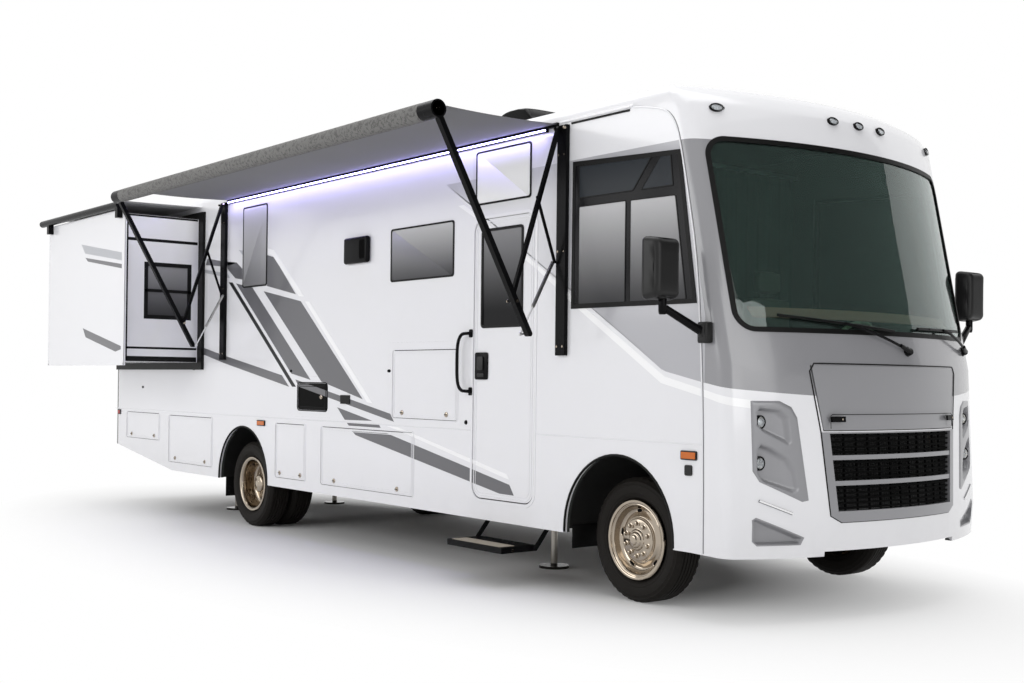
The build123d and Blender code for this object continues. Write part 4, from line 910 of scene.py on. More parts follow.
def layRoomStripes():
    for finish, outlines in roomStripes.items():
        mesh = bmesh.new()
        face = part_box("slide_room")[0].y
        for outline in outlines:
            addPlate(mesh, [(x, face, z) for x, z in outline], (0, -skin, 0))
        newPiece(f"roomStripes_{finish}", mesh, "slide_room", finish)


finishes["silverFade"] = makeSilverSide()
for side in ("right", "left"):
    layVinyl("silverPanel", "silverFade", [silverSide], side, skin * 0.6)
    for order, (finish, outlines) in enumerate(stripes.items()):
        layVinyl(f"stripes_{finish}", finish, outlines, side, skin * (1 + 0.3 * order))
layRoomStripes()
print("stripes laid")


# glass
def newGlassWithPaintedReflection(name, low, high, foot, head):
    # mirror-finish pane with a painted reflection in its base colour: pale sky painted at its head, dark
    # ground painted at its foot
    pane = newFinish(name, (0.5, 0.5, 0.5), 0.3, drift=0.04, depth=0.0, specular=0.12)

    def paintedReflection(tree, source):
        x, y, z = objectAxes(tree)
        share = addMath(tree, "DIVIDE", addMath(tree, "SUBTRACT", z, low), high - low, None, True)
        tone = addMix(tree, addMath(tree, "POWER", share, 1.4), (*foot, 1), (*head, 1))
        blend = tree.nodes.new("ShaderNodeMix")
        blend.data_type = "RGBA"
        blend.blend_type = "MULTIPLY"
        blend.inputs[0].default_value = 1.0
        tree.links.new(tone, blend.inputs[6])
        gain = tree.nodes.new("ShaderNodeVectorMath")
        gain.operation = "SCALE"
        gain.inputs["Scale"].default_value = 2.0
        tree.links.new(source, gain.inputs[0])
        tree.links.new(gain.outputs[0], blend.inputs[7])
        return blend.outputs[2]

    baseColorInto(pane, paintedReflection)
    return pane


sidePanes = {
    # x range, z range, painted reflection colour at the foot, painted reflection colour at the head
    "tallPane": ((-5.4, -4.8), (2.28, 3.07), (0.22, 0.22, 0.23), (0.66, 0.66, 0.67)),
    "middlePane": ((-2.75, -1.8), (2.2, 2.64), (0.07, 0.07, 0.075), (0.55, 0.55, 0.56)),
    "transomPane": ((-1.6, -0.85), (2.7, 3.1), (0.93, 0.93, 0.94), (0.97, 0.97, 0.98)),
}


def addGlass():
    for name, ((x0, x1), (z0, z1), foot, head) in sidePanes.items():
        finishes[name] = newGlassWithPaintedReflection(name, z0, z1, foot, head)
        nodePiece(name, "window_glass", name,
                lambda middle, x0=x0, x1=x1: middle.y < -1.1 and x0 < middle.x < x1)
    # the left panes carry the same painted reflection, light at the head and dark at the foot
    finishes["leftPane"] = newGlassWithPaintedReflection("leftPane", 2.05, 2.7, (0.06, 0.06, 0.065), (0.5, 0.5, 0.51))
    nodePiece("leftPanes", "window_glass", "leftPane",
            lambda middle: middle.y > 1.1 and middle.x < -0.8)
    cab = newFinish("cabPane", (0.004, 0.004, 0.005), 0.25, depth=0.0, specular=0.12)
    finishes["cabPane"] = cab
    nodePiece("cabSidePanes", "window_glass", "cabPane",
            lambda middle: abs(middle.y) > 1.1 and middle.x > -0.8)
    shield = newLens("windshieldGlass", (0.38, 0.54, 0.49), 0.98, 0.0, depth=0.0)
    shield.node_tree.nodes["Principled BSDF"].inputs["IOR"].default_value = 1.5
    finishes["windshield"] = shield
    front = nodePiece("windshieldPane", "window_glass", "windshield",
            lambda middle: abs(middle.y) < 0.9 and middle.x > 0)
    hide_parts("window_glass")
    # door and slide-room panes: painted reflection, light at the head and dark at the foot
    finishes["doorPane"] = newGlassWithPaintedReflection("doorPane", 1.92, 2.6, (0.004, 0.004, 0.005), (0.3, 0.3, 0.31))
    nodes["entry_door_glass"].data.materials[0] = finishes["doorPane"]
    finishes["roomPane"] = newGlassWithPaintedReflection("roomPane", 1.95, 2.6, (0.03, 0.03, 0.032), (0.34, 0.34, 0.35))
    nodes["slide_room_glass"].data.materials[0] = finishes["roomPane"]


addGlass()
print("glass set")


# cab side window bars and panes
cabBars = {
    "sill": 2.6,  # height of the bar between upper and lower panes
    "bar": 0.045,
    "proud": 0.006,
    "lower": [[(-0.402, 1.935), (0.058, 1.932), (0.058, 2.585), (-0.402, 2.59)],
        [(0.095, 1.932), (0.6, 1.928), (0.5, 2.575), (0.095, 2.583)]],
    "upper": [[(-0.405, 2.64), (0.12, 2.635), (0.29, 2.835), (-0.405, 2.86)],
        [(0.19, 2.633), (0.48, 2.63), (0.455, 2.825), (0.36, 2.83)]],
}


def addCabPanes():
    # lower cab panes: painted reflection, light at the head and dark at the foot
    finishes["cabLower"] = newGlassWithPaintedReflection("cabLower", 1.93, 2.59, (0.045, 0.045, 0.048), (0.52, 0.52, 0.53))
    finishes["cabUpper"] = newFinish("cabUpper", (0.02, 0.024, 0.029), 0.25, drift=0.2, depth=0.0,
            specular=0.12)
    for side in (-1, 1):
        tag = "right" if side < 0 else "left"
        for key, finish in (("lower", "cabLower"), ("upper", "cabUpper")):
            mesh = bmesh.new()
            for outline in cabBars[key]:
                addPlate(mesh, [onSide(side, x, z, 0.004) for x, z in outline], (0, side * 0.0012, 0), 0.012,
                        3)
            newPiece(f"cab{key.capitalize()}Panes_{tag}", mesh, "coach", finish)
            rims = bmesh.new()
            for outline in cabBars[key]:
                addPlate(rims, [onSide(side, x, z, 0.004) for x, z in outline], (0, side * 0.003, 0), 0.012,
                        3, 0.007)
            newPiece(f"cab{key.capitalize()}Rims_{tag}", rims, "coach", "gasket")


addCabPanes()


# tyres and wheels
tyreShape = {
    "half": [(0.251, 0.0), (0.251, 0.074), (0.262, 0.079), (0.27, 0.086), (0.276, 0.0925), (0.281, 0.093),
        (0.284, 0.0975), (0.3, 0.105), (0.303, 0.1072), (0.306, 0.1058), (0.33, 0.1105), (0.352, 0.1095),
        (0.355, 0.111), (0.359, 0.1085), (0.374, 0.103), (0.378, 0.104), (0.384, 0.0975), (0.393, 0.09),
        (0.4015, 0.084), (0.404, 0.078)],
    "grooves": (0.058, 0.029, 0.0), "grooveHalf": 0.0038, "grooveDepth": 0.011,
    "steps": 132, "notchEvery": 3, "notchDepth": 0.0035,
}
wheelShapes = {
    # radius and outward offset from the middle of the tyre
    "front": [(0.261, 0.096), (0.2615, 0.103), (0.257, 0.1085), (0.248, 0.1095), (0.24, 0.106),
        (0.237, 0.099),
        (0.233, 0.0975), (0.229, 0.099), (0.224, 0.0965), (0.22, 0.09), (0.216, 0.076), (0.208, 0.056),
        (0.198, 0.044), (0.186, 0.04), (0.174, 0.045), (0.162, 0.056), (0.154, 0.066), (0.15, 0.069),
        (0.1475, 0.069), (0.145, 0.073), (0.143, 0.077), (0.1395, 0.0775), (0.137, 0.083),
        (0.1345, 0.087),
        (0.13, 0.0885), (0.076, 0.0915), (0.07, 0.093), (0.066, 0.099), (0.063, 0.104), (0.058, 0.106),
        (0.054, 0.106), (0.051, 0.112), (0.046, 0.119), (0.04, 0.1215), (0.034, 0.122), (0.032, 0.125),
        (0.029, 0.131), (0.022, 0.1335), (0.013, 0.134), (0.0, 0.134),
        (0.0, -0.07), (0.06, -0.07), (0.07, 0.01), (0.19, 0.015), (0.215, 0.03), (0.23, -0.04),
        (0.24, -0.086), (0.26, -0.093), (0.261, -0.088), (0.248, -0.078), (0.244, -0.06),
        (0.244, 0.075), (0.254, 0.088), (0.261, 0.096)],
    "rearOuter": [(0.261, 0.086), (0.2615, 0.093), (0.257, 0.0985), (0.248, 0.0995), (0.24, 0.096),
        (0.237, 0.09),
        (0.233, 0.089), (0.23, 0.084), (0.227, 0.05), (0.223, 0.0), (0.219, -0.03),
        (0.211, -0.044), (0.198, -0.05), (0.15, -0.052), (0.144, -0.049), (0.14, -0.04),
        (0.134, -0.038), (0.092, -0.037), (0.086, -0.034), (0.084, 0.018), (0.081, 0.03),
        (0.074, 0.037), (0.064, 0.04), (0.04, 0.041), (0.036, 0.044), (0.026, 0.046), (0.0, 0.0465),
        (0.0, -0.09), (0.19, -0.09), (0.214, -0.075), (0.24, -0.086), (0.26, -0.093),
        (0.261, -0.088), (0.248, -0.078), (0.244, -0.06), (0.244, 0.075), (0.254, 0.082),
        (0.261, 0.086)],
    "rearInner": [(0.261, 0.086), (0.26, 0.093), (0.24, 0.086), (0.232, 0.05), (0.225, 0.045), (0.2, 0.07),
        (0.07, 0.08), (0.0, 0.08), (0.0, -0.04), (0.06, -0.04), (0.07, 0.06),
        (0.195, 0.055), (0.225, -0.03), (0.24, -0.086), (0.26, -0.093), (0.261, -0.088),
        (0.248, -0.078), (0.244, -0.06), (0.244, 0.075), (0.261, 0.086)],
}
wheelTrim = {"lugs": 10, "holes": 5,
        "front": {"lugRing": 0.106, "lugFoot": 0.087, "lugTop": 0.113, "holeRing": 0.188,
        "holeFoot": 0.038},
        "rearOuter": {"lugRing": 0.115, "lugFoot": -0.039, "lugTop": -0.013, "holeRing": 0.178,
        "holeFoot": -0.053}}


def addTyre(mesh, centre):
    profile = list(tyreShape["half"])
    for place in tyreShape["grooves"]:
        half, depth = tyreShape["grooveHalf"], tyreShape["grooveDepth"]
        if place:
            profile += [(0.4048, place + half), (0.405 - depth, place + half * 0.6),
                    (0.405 - depth, place - half * 0.6),
                    (0.405, place - half)]
        else:
            profile += [(0.405, half), (0.405 - depth, half * 0.6)]
    profile += [(radius, -offset) for radius, offset in reversed(profile)]
    start = len(mesh.verts)
    addLathe(mesh, profile[1:-1] + [profile[1]], centre, tyreShape["steps"])
    mesh.verts.ensure_lookup_table()
    for vert in mesh.verts[start:]:
        offset = abs(vert.co.y - centre[1])
        across = Vector((vert.co.x - centre[0], 0, vert.co.z - centre[2]))
        if across.length > 0.39 and offset > 0.062:
            index = round((math.atan2(across.z, across.x) % math.tau) / (math.tau / tyreShape["steps"]))
            if index % tyreShape["notchEvery"] == 0:
                vert.co -= across.normalized() * tyreShape["notchDepth"] * (2.0 if offset > 0.08 else 1.0)


def addWheelTrim(mesh, holes, centre, side, kind):
    shape = wheelTrim[kind]
    for index in range(wheelTrim["lugs"]):
        turn = math.tau * (index + 0.5) / wheelTrim["lugs"]
        place = Vector(centre) + Vector((math.cos(turn), 0, math.sin(turn))) * shape["lugRing"]
        foot, top = shape["lugFoot"], shape["lugTop"]
        profile = [(0.0185, foot), (0.0185, foot + 0.004), (0.0135, foot + 0.006), (0.013, top - 0.008),
                (0.01, top - 0.002), (0.005, top), (0.0, top)]
        addLathe(mesh, [(radius, side * offset) for radius, offset in profile], place, 14)
    for index in range(wheelTrim["holes"]):
        turn = math.tau * (index + 0.35) / wheelTrim["holes"]
        place = Vector(centre) + Vector((math.cos(turn), 0, math.sin(turn))) * shape["holeRing"]
        stretch = Matrix.Rotation(-turn, 4, "Y") @ Matrix.Diagonal((0.68, 1, 1.35, 1))
        # the dark discs set in the wheel holes are painted shade standing in for the holes' depth
        for target, profile in ((holes, [(0.0, 0.0085), (0.016, 0.0085), (0.0175, 0.0)]),
                (mesh, [(0.0175, 0.002), (0.018, 0.0105), (0.02, 0.0115), (0.0225, 0.008),
                (0.024, 0.0)])):
            start = len(target.verts)
            addLathe(target, [(radius, side * offset) for radius, offset in profile], (0, 0, 0), 22)
            target.verts.ensure_lookup_table()
            shift = Matrix.Translation(place + Vector((0, side * shape["holeFoot"], 0))) @ stretch
            bmesh.ops.transform(target, matrix=shift, verts=target.verts[start:])


def addWheels():
    frontY = (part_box("front_left_tyre")[0].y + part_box("front_left_tyre")[1].y) / 2
    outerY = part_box("rear_left_tyres")[1].y - 0.1125
    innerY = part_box("rear_left_tyres")[0].y + 0.1125
    for side, tag in ((-1, "right"), (1, "left")):
        sets = [(f"front_{tag}_wheel", f"front_{tag}_tyre", [(0.0, frontY, "front", 1)]),
                (f"rear_{tag}_wheels", f"rear_{tag}_tyres",
                [(-wheelbase, outerY, "rearOuter", 1), (-wheelbase, innerY, "rearInner", -1)])]
        for wheelNode, tyreNode, places in sets:
            rubber, metal, dark = bmesh.new(), bmesh.new(), bmesh.new()
            for x, y, kind, way in places:
                centre = (x, side * y, axleZ)
                addTyre(rubber, centre)
                addLathe(metal, [(radius, side * offset) for radius, offset in wheelShapes[kind]], centre, 72)
                if kind in wheelTrim:
                    addWheelTrim(metal, dark, centre, side, kind)
            body = nodes[wheelNode]["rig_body"]
            tyre = newPiece(tyreNode + "Tread", rubber, body, "rubber", 0.5)
            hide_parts(tyreNode)
            wheel = newPiece(wheelNode + "Dress", metal, body, "chrome", 0.7)
            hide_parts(wheelNode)
            # painted shade in the wheel holes
            newPiece(wheelNode + "HoleShade", dark, body, "holeBlack", 0.7)


addWheels()
print("wheels made")


# nose: cut-outs, lamp bezels, hood, grille, vents
bezel = {
    "outline": [(1.135, 1.325), (0.96, 1.325), (0.886, 1.289), (0.85, 1.226), (0.79, 0.735), (0.834, 0.727),
        (1.097, 0.849), (1.135, 0.912)],
    "upperBowl": [(1.103, 1.183), (1.068, 1.147), (0.916, 1.069), (0.898, 1.083), (0.911, 1.226),
        (0.955, 1.273),
        (1.085, 1.288), (1.106, 1.25)],
    "lowerBowl": [(1.111, 0.901), (1.076, 0.848), (0.897, 0.783), (0.858, 0.798), (0.875, 0.909),
        (0.919, 0.985),
        (1.017, 1.047), (1.085, 1.073), (1.108, 1.037)],
    "deep": 0.046, "proud": 0.006, "lip": 0.02,
    "lamps": [(1.057, 1.199, 0.04), (1.069, 0.956, 0.042)],
}
lowerVent = [(1.147, 0.626), (1.124, 0.641), (0.82, 0.516), (0.841, 0.472), (1.111, 0.473), (1.141, 0.5)]
faceOutline = [(-0.758, 1.505), (-0.725, 1.552), (0.725, 1.552), (0.758, 1.505), (0.692, 1.142),
        (0.64, 0.638),
        (0.562, 0.597), (-0.562, 0.597), (-0.64, 0.638), (-0.692, 1.142)]


def inwards(y, z, outline):
    # how far a place lies inside a convex outline, whichever way round it runs
    found = []
    middle = [sum(point[axis] for point in outline) / len(outline) for axis in (0, 1)]
    for (y0, z0), (y1, z1) in zip(outline, outline[1:] + outline[:1]):
        length = math.hypot(y1 - y0, z1 - z0)
        sign = 1 if (y1 - y0) * (middle[1] - z0) - (z1 - z0) * (middle[0] - y0) > 0 else -1
        found.append(sign * ((y1 - y0) * (z - z0) - (z1 - z0) * (y - y0)) / length)
    return min(found)


def smooth(share):
    share = min(max(share, 0.0), 1.0)
    return share * share * (3 - 2 * share)


def bowlDepth(y, z):
    y = abs(y)
    deepest = 0.0
    for key in ("upperBowl", "lowerBowl"):
        inside = inwards(y, z, bezel[key])
        outer = smooth((y - 0.86) / 0.19)
        deepest = max(deepest, smooth(inside / bezel["lip"]) * bezel["deep"] * (0.3 + 0.7 * outer))
    return deepest


def trimToOutline(mesh, outline, side):
    middle = Vector((0, side * sum(y for y, z in outline) / len(outline),
            sum(z for y, z in outline) / len(outline)))
    for (y0, z0), (y1, z1) in zip(outline, outline[1:] + outline[:1]):
        normal = Vector((0, z1 - z0, -side * (y1 - y0)))
        start = Vector((0, side * y0, z0))
        if normal.dot(middle - start) > 0:
            normal = -normal
        bmesh.ops.bisect_plane(mesh, geom=mesh.verts[:] + mesh.edges[:] + mesh.faces[:], dist=0.00001,
                plane_co=start,
                plane_no=normal, clear_outer=True)


def addNoseShell(mesh, outline, side, shape, thick, cells=(46, 70)):
    # a thin shell that follows the nose inside a convex outline, moved in x by shape(y, z)
    part = bmesh.new()
    ys = [y for y, z in outline]
    zs = [z for y, z in outline]
    width, height = max(ys) - min(ys), max(zs) - min(zs)
    place = Matrix.Translation((0, side * (max(ys) + min(ys)) / 2, (max(zs) + min(zs)) / 2))
    place = place @ Matrix(((0, 0, 1, 0), (width, 0, 0, 0), (0, height, 0, 0), (0, 0, 0, 1)))
    bmesh.ops.create_grid(part, x_segments=cells[0], y_segments=cells[1], size=0.5, matrix=place)
    trimToOutline(part, outline, side)
    for vert in part.verts:
        vert.co.x = noseFront(vert.co.y, vert.co.z) + shape(vert.co.y, vert.co.z)
    grown = bmesh.ops.extrude_face_region(part, geom=part.faces[:])["geom"]
    bmesh.ops.translate(part, vec=(-thick, 0, 0),
            verts=[one for one in grown if isinstance(one, bmesh.types.BMVert)])
    data = bpy.data.meshes.new("nosePart")
    part.to_mesh(data)
    part.free()
    mesh.from_mesh(data)
    bpy.data.meshes.remove(data)


def noseLine(outline, proud=0.0, spacing=0.05, closed=True):
    # points along an outline on the nose
    found = []
    pairs = list(zip(outline, outline[1:] + outline[:1])) if closed else list(zip(outline, outline[1:]))
    for (y0, z0), (y1, z1) in pairs:
        count = max(1, math.ceil(math.hypot(y1 - y0, z1 - z0) / spacing))
        for step in range(count):
            share = step / count
            found.append(onNose(y0 + (y1 - y0) * share, z0 + (z1 - z0) * share, proud))
    if not closed:
        found.append(onNose(*outline[-1], proud))
    return found


def cutNose():
    # the front cap with pockets through it for bezels and vents
    cap = newPiece("frontCapSkin", partOfNode("front_cap"), "coach", "nosePaint",
            recalc=False,
            tidy=0.00001)
    cutter = bmesh.new()
    for side in (-1, 1):
        for outline in (bezel["outline"], lowerVent):
            ys, zs = [y for y, z in outline], [z for y, z in outline]
            middleY, middleZ = sum(ys) / len(ys), sum(zs) / len(zs)
            shrunk = [(y + (middleY - y) * 0.02, z + (middleZ - z) * 0.02) for y, z in outline]
            addPlate(cutter, [(0.7, side * y, z) for y, z in shrunk], (0.8, 0, 0))
    bmesh.ops.recalc_face_normals(cutter, faces=cutter.faces)
    data = bpy.data.meshes.new("capCutter")
    cutter.to_mesh(data)
    cutter.free()
    tool = bpy.data.objects.new("capCutter", data)
    scene.collection.objects.link(tool)
    cut = cap.modifiers.new("pockets", "BOOLEAN")
    cut.operation = "DIFFERENCE"
    cut.solver = "EXACT"
    cut.object = tool
    bpy.context.view_layer.update()
    fresh = bpy.data.meshes.new_from_object(cap.evaluated_get(bpy.context.evaluated_depsgraph_get()))
    cap.modifiers.remove(cut)
    print("front cap faces:", len(cap.data.polygons), "->", len(fresh.polygons))
    fresh.materials.clear()
    fresh.materials.append(finishes["nosePaint"])
    for face in fresh.polygons:
        face.material_index = 0
        face.use_smooth = True
    fresh.set_sharp_from_angle(angle=0.6)
    cap.data = fresh
    bpy.data.objects.remove(tool)
    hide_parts("front_cap")


def addBezels():
    for side, tag in ((-1, "right"), (1, "left")):
        mesh = bmesh.new()
        addNoseShell(mesh, bezel["outline"], side, lambda y,
                z: bezel["proud"] * smooth(inwards(abs(y), z, bezel["outline"]) / 0.012) - bowlDepth(y,
                z), 0.006)
        shell = newPiece(f"lampBezel_{tag}", mesh, "coach", "silver", 1.0)
        if side < 0:
            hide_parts("lamps")
        ring, cup, lens, dots = bmesh.new(), bmesh.new(), bmesh.new(), bmesh.new()
        for order, (y, z, radius) in enumerate(bezel["lamps"]):
            x = noseFront(side * y, z) + bezel["proud"] - bowlDepth(y, z)
            centre = (x, side * y, z)
            addLathe(ring, [(radius * 0.8, -0.004), (radius * 0.8, 0.014), (radius * 0.9, 0.02),
                    (radius, 0.016),
                    (radius * 1.04, 0.004), (radius * 1.04, -0.02), (radius * 0.8, -0.02),
                    (radius * 0.8, -0.004)],
                    centre, 40, (1, 0, 0))
            addLathe(cup, [(0.0, -0.002), (radius * 0.35, 0.0), (radius * 0.62, 0.005), (radius * 0.8, 0.012),
                    (radius * 0.8, -0.01), (0.0, -0.01)], centre, 36, (1, 0, 0))
            addLathe(lens, [(0.0, 0.024), (radius * 0.4, 0.0225), (radius * 0.7, 0.018),
                    (radius * 0.82, 0.013),
                    (radius * 0.82, 0.01), (radius * 0.6, 0.0135), (radius * 0.3, 0.017),
                    (0.0, 0.018)],
                    centre, 36, (1, 0, 0))
            for index in range(7 if order else 1):
                turn = math.tau * index / 6
                reach = 0.0 if index == 6 or not order else radius * 0.5
                place = (x + 0.004, side * y + reach * math.cos(turn), z + reach * math.sin(turn))
                size = radius * (0.16 if order else 0.42)
                addLathe(dots, [(0.0, 0.01), (size * 0.6, 0.009), (size, 0.004), (size, -0.006),
                        (0.0, -0.006)], place,
                        18, (1, 0, 0))
        newPiece(f"lampRings_{tag}", ring, "coach", "satinBlack")
        newPiece(f"lampCups_{tag}", cup, "coach", "chrome")
        newPiece(f"lampDots_{tag}", dots, "coach", "aluminium")
        newPiece(f"lampLenses_{tag}", lens, "coach", "clearLens")


def addVents():
    for side, tag in ((-1, "right"), (1, "left")):
        mesh = bmesh.new()
        addNoseShell(mesh, lowerVent, side,
                lambda y, z: 0.003 - 0.042 * smooth((inwards(abs(y), z, lowerVent) - 0.006) / 0.014)
                * (0.35 + 0.65 * smooth((0.66 - z) / 0.1)), 0.005, (60, 34))
        newPiece(f"bumperVent_{tag}", mesh, "coach", "silver", 1.0)
        slot = noseLine([(side * 1.104, 0.739), (side * 0.901, 0.659)], 0.001, 0.04, False)
        tubePiece(f"bumperSlotEdge_{tag}", slot, 0.0085, "coach", "stripeGrey", straight=True)
        tubePiece(f"bumperSlot_{tag}", [point + Vector((0.004, 0, 0)) for point in slot], 0.0065, "coach",
                "brightWhite",
                straight=True)


def addFace():
    # hood and grille share one dark outline; a pressed strip with two latches lies between them
    tubePiece("faceOutline", noseLine(faceOutline, 0.0005), 0.0045, "coach", "gasket",
            cyclic=True,
            straight=True)
    strip = [(-0.636, 1.16), (-0.636, 1.236), (-0.622, 1.246), (0.622, 1.246), (0.636, 1.236), (0.636, 1.16)]
    tubePiece("hoodStripLine", noseLine(strip, 0.0195, 0.05, False), 0.0022, "service_hood", "gasket",
            straight=True)
    latch = bmesh.new()
    for middle in (-0.583, 0.597):
        outline = [(abs(middle) + dy, 1.217 + dz) for dy,
                dz in ((-0.05, -0.017), (0.05, -0.017), (0.05, 0.017), (-0.05, 0.017))]
        addNoseShell(latch, outline, -1 if middle < 0 else 1, lambda y, z: 0.03, 0.012, (6, 3))
    newPiece("hoodLatches", latch, "service_hood", "satinBlack")
    pins = bmesh.new()
    for middle in (-0.56, 0.62):
        addRod(pins, onNose(middle, 1.217, 0.028), onNose(middle, 1.217, 0.034), 0.006, 12)
    newPiece("hoodLatchPins", pins, "service_hood", "chrome")


def addGrilleMesh():
    # woven wire behind the grille bars
    low, high, reach = 0.668, 1.126, 0.585
    wires = bmesh.new()
    rows, columns = 26, 56
    for row in range(rows):
        z = low + (high - low) * (row + 0.5) / rows
        half = reach + 0.1 * (z - low)
        points = [onNose(-half + 2 * half * step / 14, z, -0.034) for step in range(15)]
        for start, end in zip(points, points[1:]):
            addRod(wires, start, end, 0.0022, 5)
    for column in range(columns):
        share = (column + 0.5) / columns * 2 - 1
        points = [onNose(share * (reach + 0.1 * (z - low)), z, -0.031) for z in (low, (low + high) / 2, high)]
        for start, end in zip(points, points[1:]):
            addRod(wires, start, end, 0.0022, 5)
    newPiece("grilleWire", wires, "coach", "wire")
    fan = bmesh.new()
    addBox(fan, (1.02, -0.56, 0.64), (1.05, 0.56, 1.12))
    for y, z in ((-0.4, 0.9), (0.34, 0.74)):
        addBox(fan, (1.05, y - 0.16, z - 0.05), (1.075, y + 0.16, z + 0.05))
    bevelSharp(fan, 0.01)
    newPiece("coolerCore", fan, "coach", "castIron")


finishes["wire"] = newFinish("wireBlack", (0.012, 0.012, 0.012), 0.35, drift=0.3, specular=0.3)
cutNose()
addBezels()
addVents()
addFace()
addGrilleMesh()
print("nose made")


# marker and tail lamps
def addMarkers():
    nodePiece("amberMarkers", "lamps", "amberLens", lambda m: -8 < m.x < 0.8 and 0.9 < m.z < 1.1)
    nodePiece("redMarkers", "lamps", "redLens", lambda m: m.x < -8.3 and abs(m.y) > 1.2)
    nodePiece("tailLamps", "lamps", "redLens", lambda m: m.x < -8.3 and abs(m.y) < 1.2)
    nodePiece("roofMarkers", "lamps", "clearLens", lambda m: m.z > 3)
    rings = bmesh.new()
    for y in (-1.097, -0.249, 0.0, 0.249, 1.097):
        start = len(rings.verts)
        addLathe(rings, [(1.0, -0.01), (1.0, 0.008), (0.88, 0.012), (0.74, 0.008), (0.74, -0.01),
                (1.0, -0.01)],
                (0, 0, 0), 36, (1, 0, 0))
        rings.verts.ensure_lookup_table()
        slope = Matrix.Rotation(math.radians(-15), 4, "Y")
        turn = Matrix.Rotation(math.asin(max(-1, min(1, y / nose["sweep"]))), 4, "Z")
        place = Matrix.Translation(onNose(y, 3.108, 0.004)) @ turn @ slope @ Matrix.Diagonal((1, 0.047,
                0.027, 1))
        bmesh.ops.transform(rings, matrix=place, verts=rings.verts[start:])
    newPiece("roofMarkerRings", rings, "coach", "satinBlack")
    edges = bmesh.new()
    for side in (-1, 1):
        for low, high in (((0.567, 0.962), (0.699, 1.018)), ((-4.998, 0.977), (-4.842, 1.03)),
                ((-8.48, 0.992), (-8.402, 1.048))):
            corners = [onSide(side, *place) for place in ((low[0], low[1]), (high[0], low[1]),
                    (high[0], high[1]), (low[0], high[1]))]
            addPlate(edges, corners, (0, side * 0.01, 0), 0.008, 3)
        corners = [onSide(side, *place) for place in ((0.6, 0.868), (0.66, 0.868), (0.66, 0.932),
                (0.6, 0.932))]
        addPlate(edges, corners, (0, side * 0.008, 0), 0.012, 4)
    newPiece("markerBases", edges, "coach", "blackPlastic")


addMarkers()
print("lamps made")


# awning canopy, its roll, light strip and arm fittings
canopy = {
    "x": (-5.67, -0.62), "rail": (-1.3052, 3.1675), "roller": (-2.355, 3.104), "rollRadius": 0.0587,
    "thick": 0.0016, "sag": 0.014, "mastX": (-0.556, -5.735), "pivot": (-1.332, 3.126),
        "elbow": (-1.717, 1.946),
    "tube": (-5.79, -0.501),
}


def makeCloth(name, under, over, speckle, roughness=0.75, mottleScale=95.0, speckTone=(0.42, 0.42, 0.43)):
    # coated cloth: weave on its own map, a mottled print, and a darker underside
    cloth = newFinish(name, over, roughness, drift=0.1, driftScale=2.0, depth=0.0, specular=0.25)
    tree = cloth.node_tree
    shader = tree.nodes["Principled BSDF"]
    weave = tree.nodes.new("ShaderNodeGroup")
    weave.node_tree = plainWeave
    bump = tree.nodes.new("ShaderNodeBump")
    bump.inputs["Strength"].default_value = 0.15
    bump.inputs["Distance"].default_value = 0.0006
    tree.links.new(weave.outputs["Height"], bump.inputs["Height"])
    tree.links.new(bump.outputs["Normal"], shader.inputs["Normal"])

    def sides(tree, source):
        x, y, z = objectAxes(tree)
        mottle = addNoise(tree, tree.nodes.new("ShaderNodeTexCoord").outputs["Object"], mottleScale, 5.0,
                0.75)
        spots = addMath(tree, "MULTIPLY", addMath(tree, "GREATER_THAN", mottle, 0.53), speckle)
        printed = addMix(tree, spots, source, (*speckTone, 1))
        normal = tree.nodes.new("ShaderNodeSeparateXYZ")
        tree.links.new(tree.nodes.new("ShaderNodeNewGeometry").outputs["Normal"], normal.inputs[0])
        below = addMath(tree, "LESS_THAN", normal.outputs["Z"], -0.2)
        return addMix(tree, below, printed, (*under, 1)) if under else printed

    baseColorInto(cloth, sides)
    return cloth


def addClothGrid(name, corners, cells, sag, thick, body, finish):
    # a stretched sheet between two straight edges, with its own map in metres
    (x0, x1), (y0, z0), (y1, z1) = corners
    mesh = bmesh.new()
    bmesh.ops.create_grid(mesh, x_segments=cells[0], y_segments=cells[1], size=0.5)
    layer = mesh.loops.layers.uv.new("UVMap")
    width, depth = x1 - x0, math.hypot(y1 - y0, z1 - z0)
    for face in mesh.faces:
        for loop in face.loops:
            loop[layer].uv = ((loop.vert.co.x + 0.5) * width, (loop.vert.co.y + 0.5) * depth)
    for vert in mesh.verts:
        along, out = vert.co.x + 0.5, vert.co.y + 0.5
        ripple = 0.0015 * math.sin(along * 37.0 + 1.3 * out) * math.sin(out * math.pi)
        drop = sag * 4 * out * (1 - out) * (0.75 + 0.25 * math.cos(along * math.tau * 2)) + ripple
        vert.co = Vector((x0 + width * along, y0 + (y1 - y0) * out, z0 + (z1 - z0) * out - drop))
    bmesh.ops.recalc_face_normals(mesh, faces=mesh.faces)
    bmesh.ops.solidify(mesh, geom=mesh.faces[:], thickness=thick)
    return newPiece(name, mesh, body, finish, 0.7)


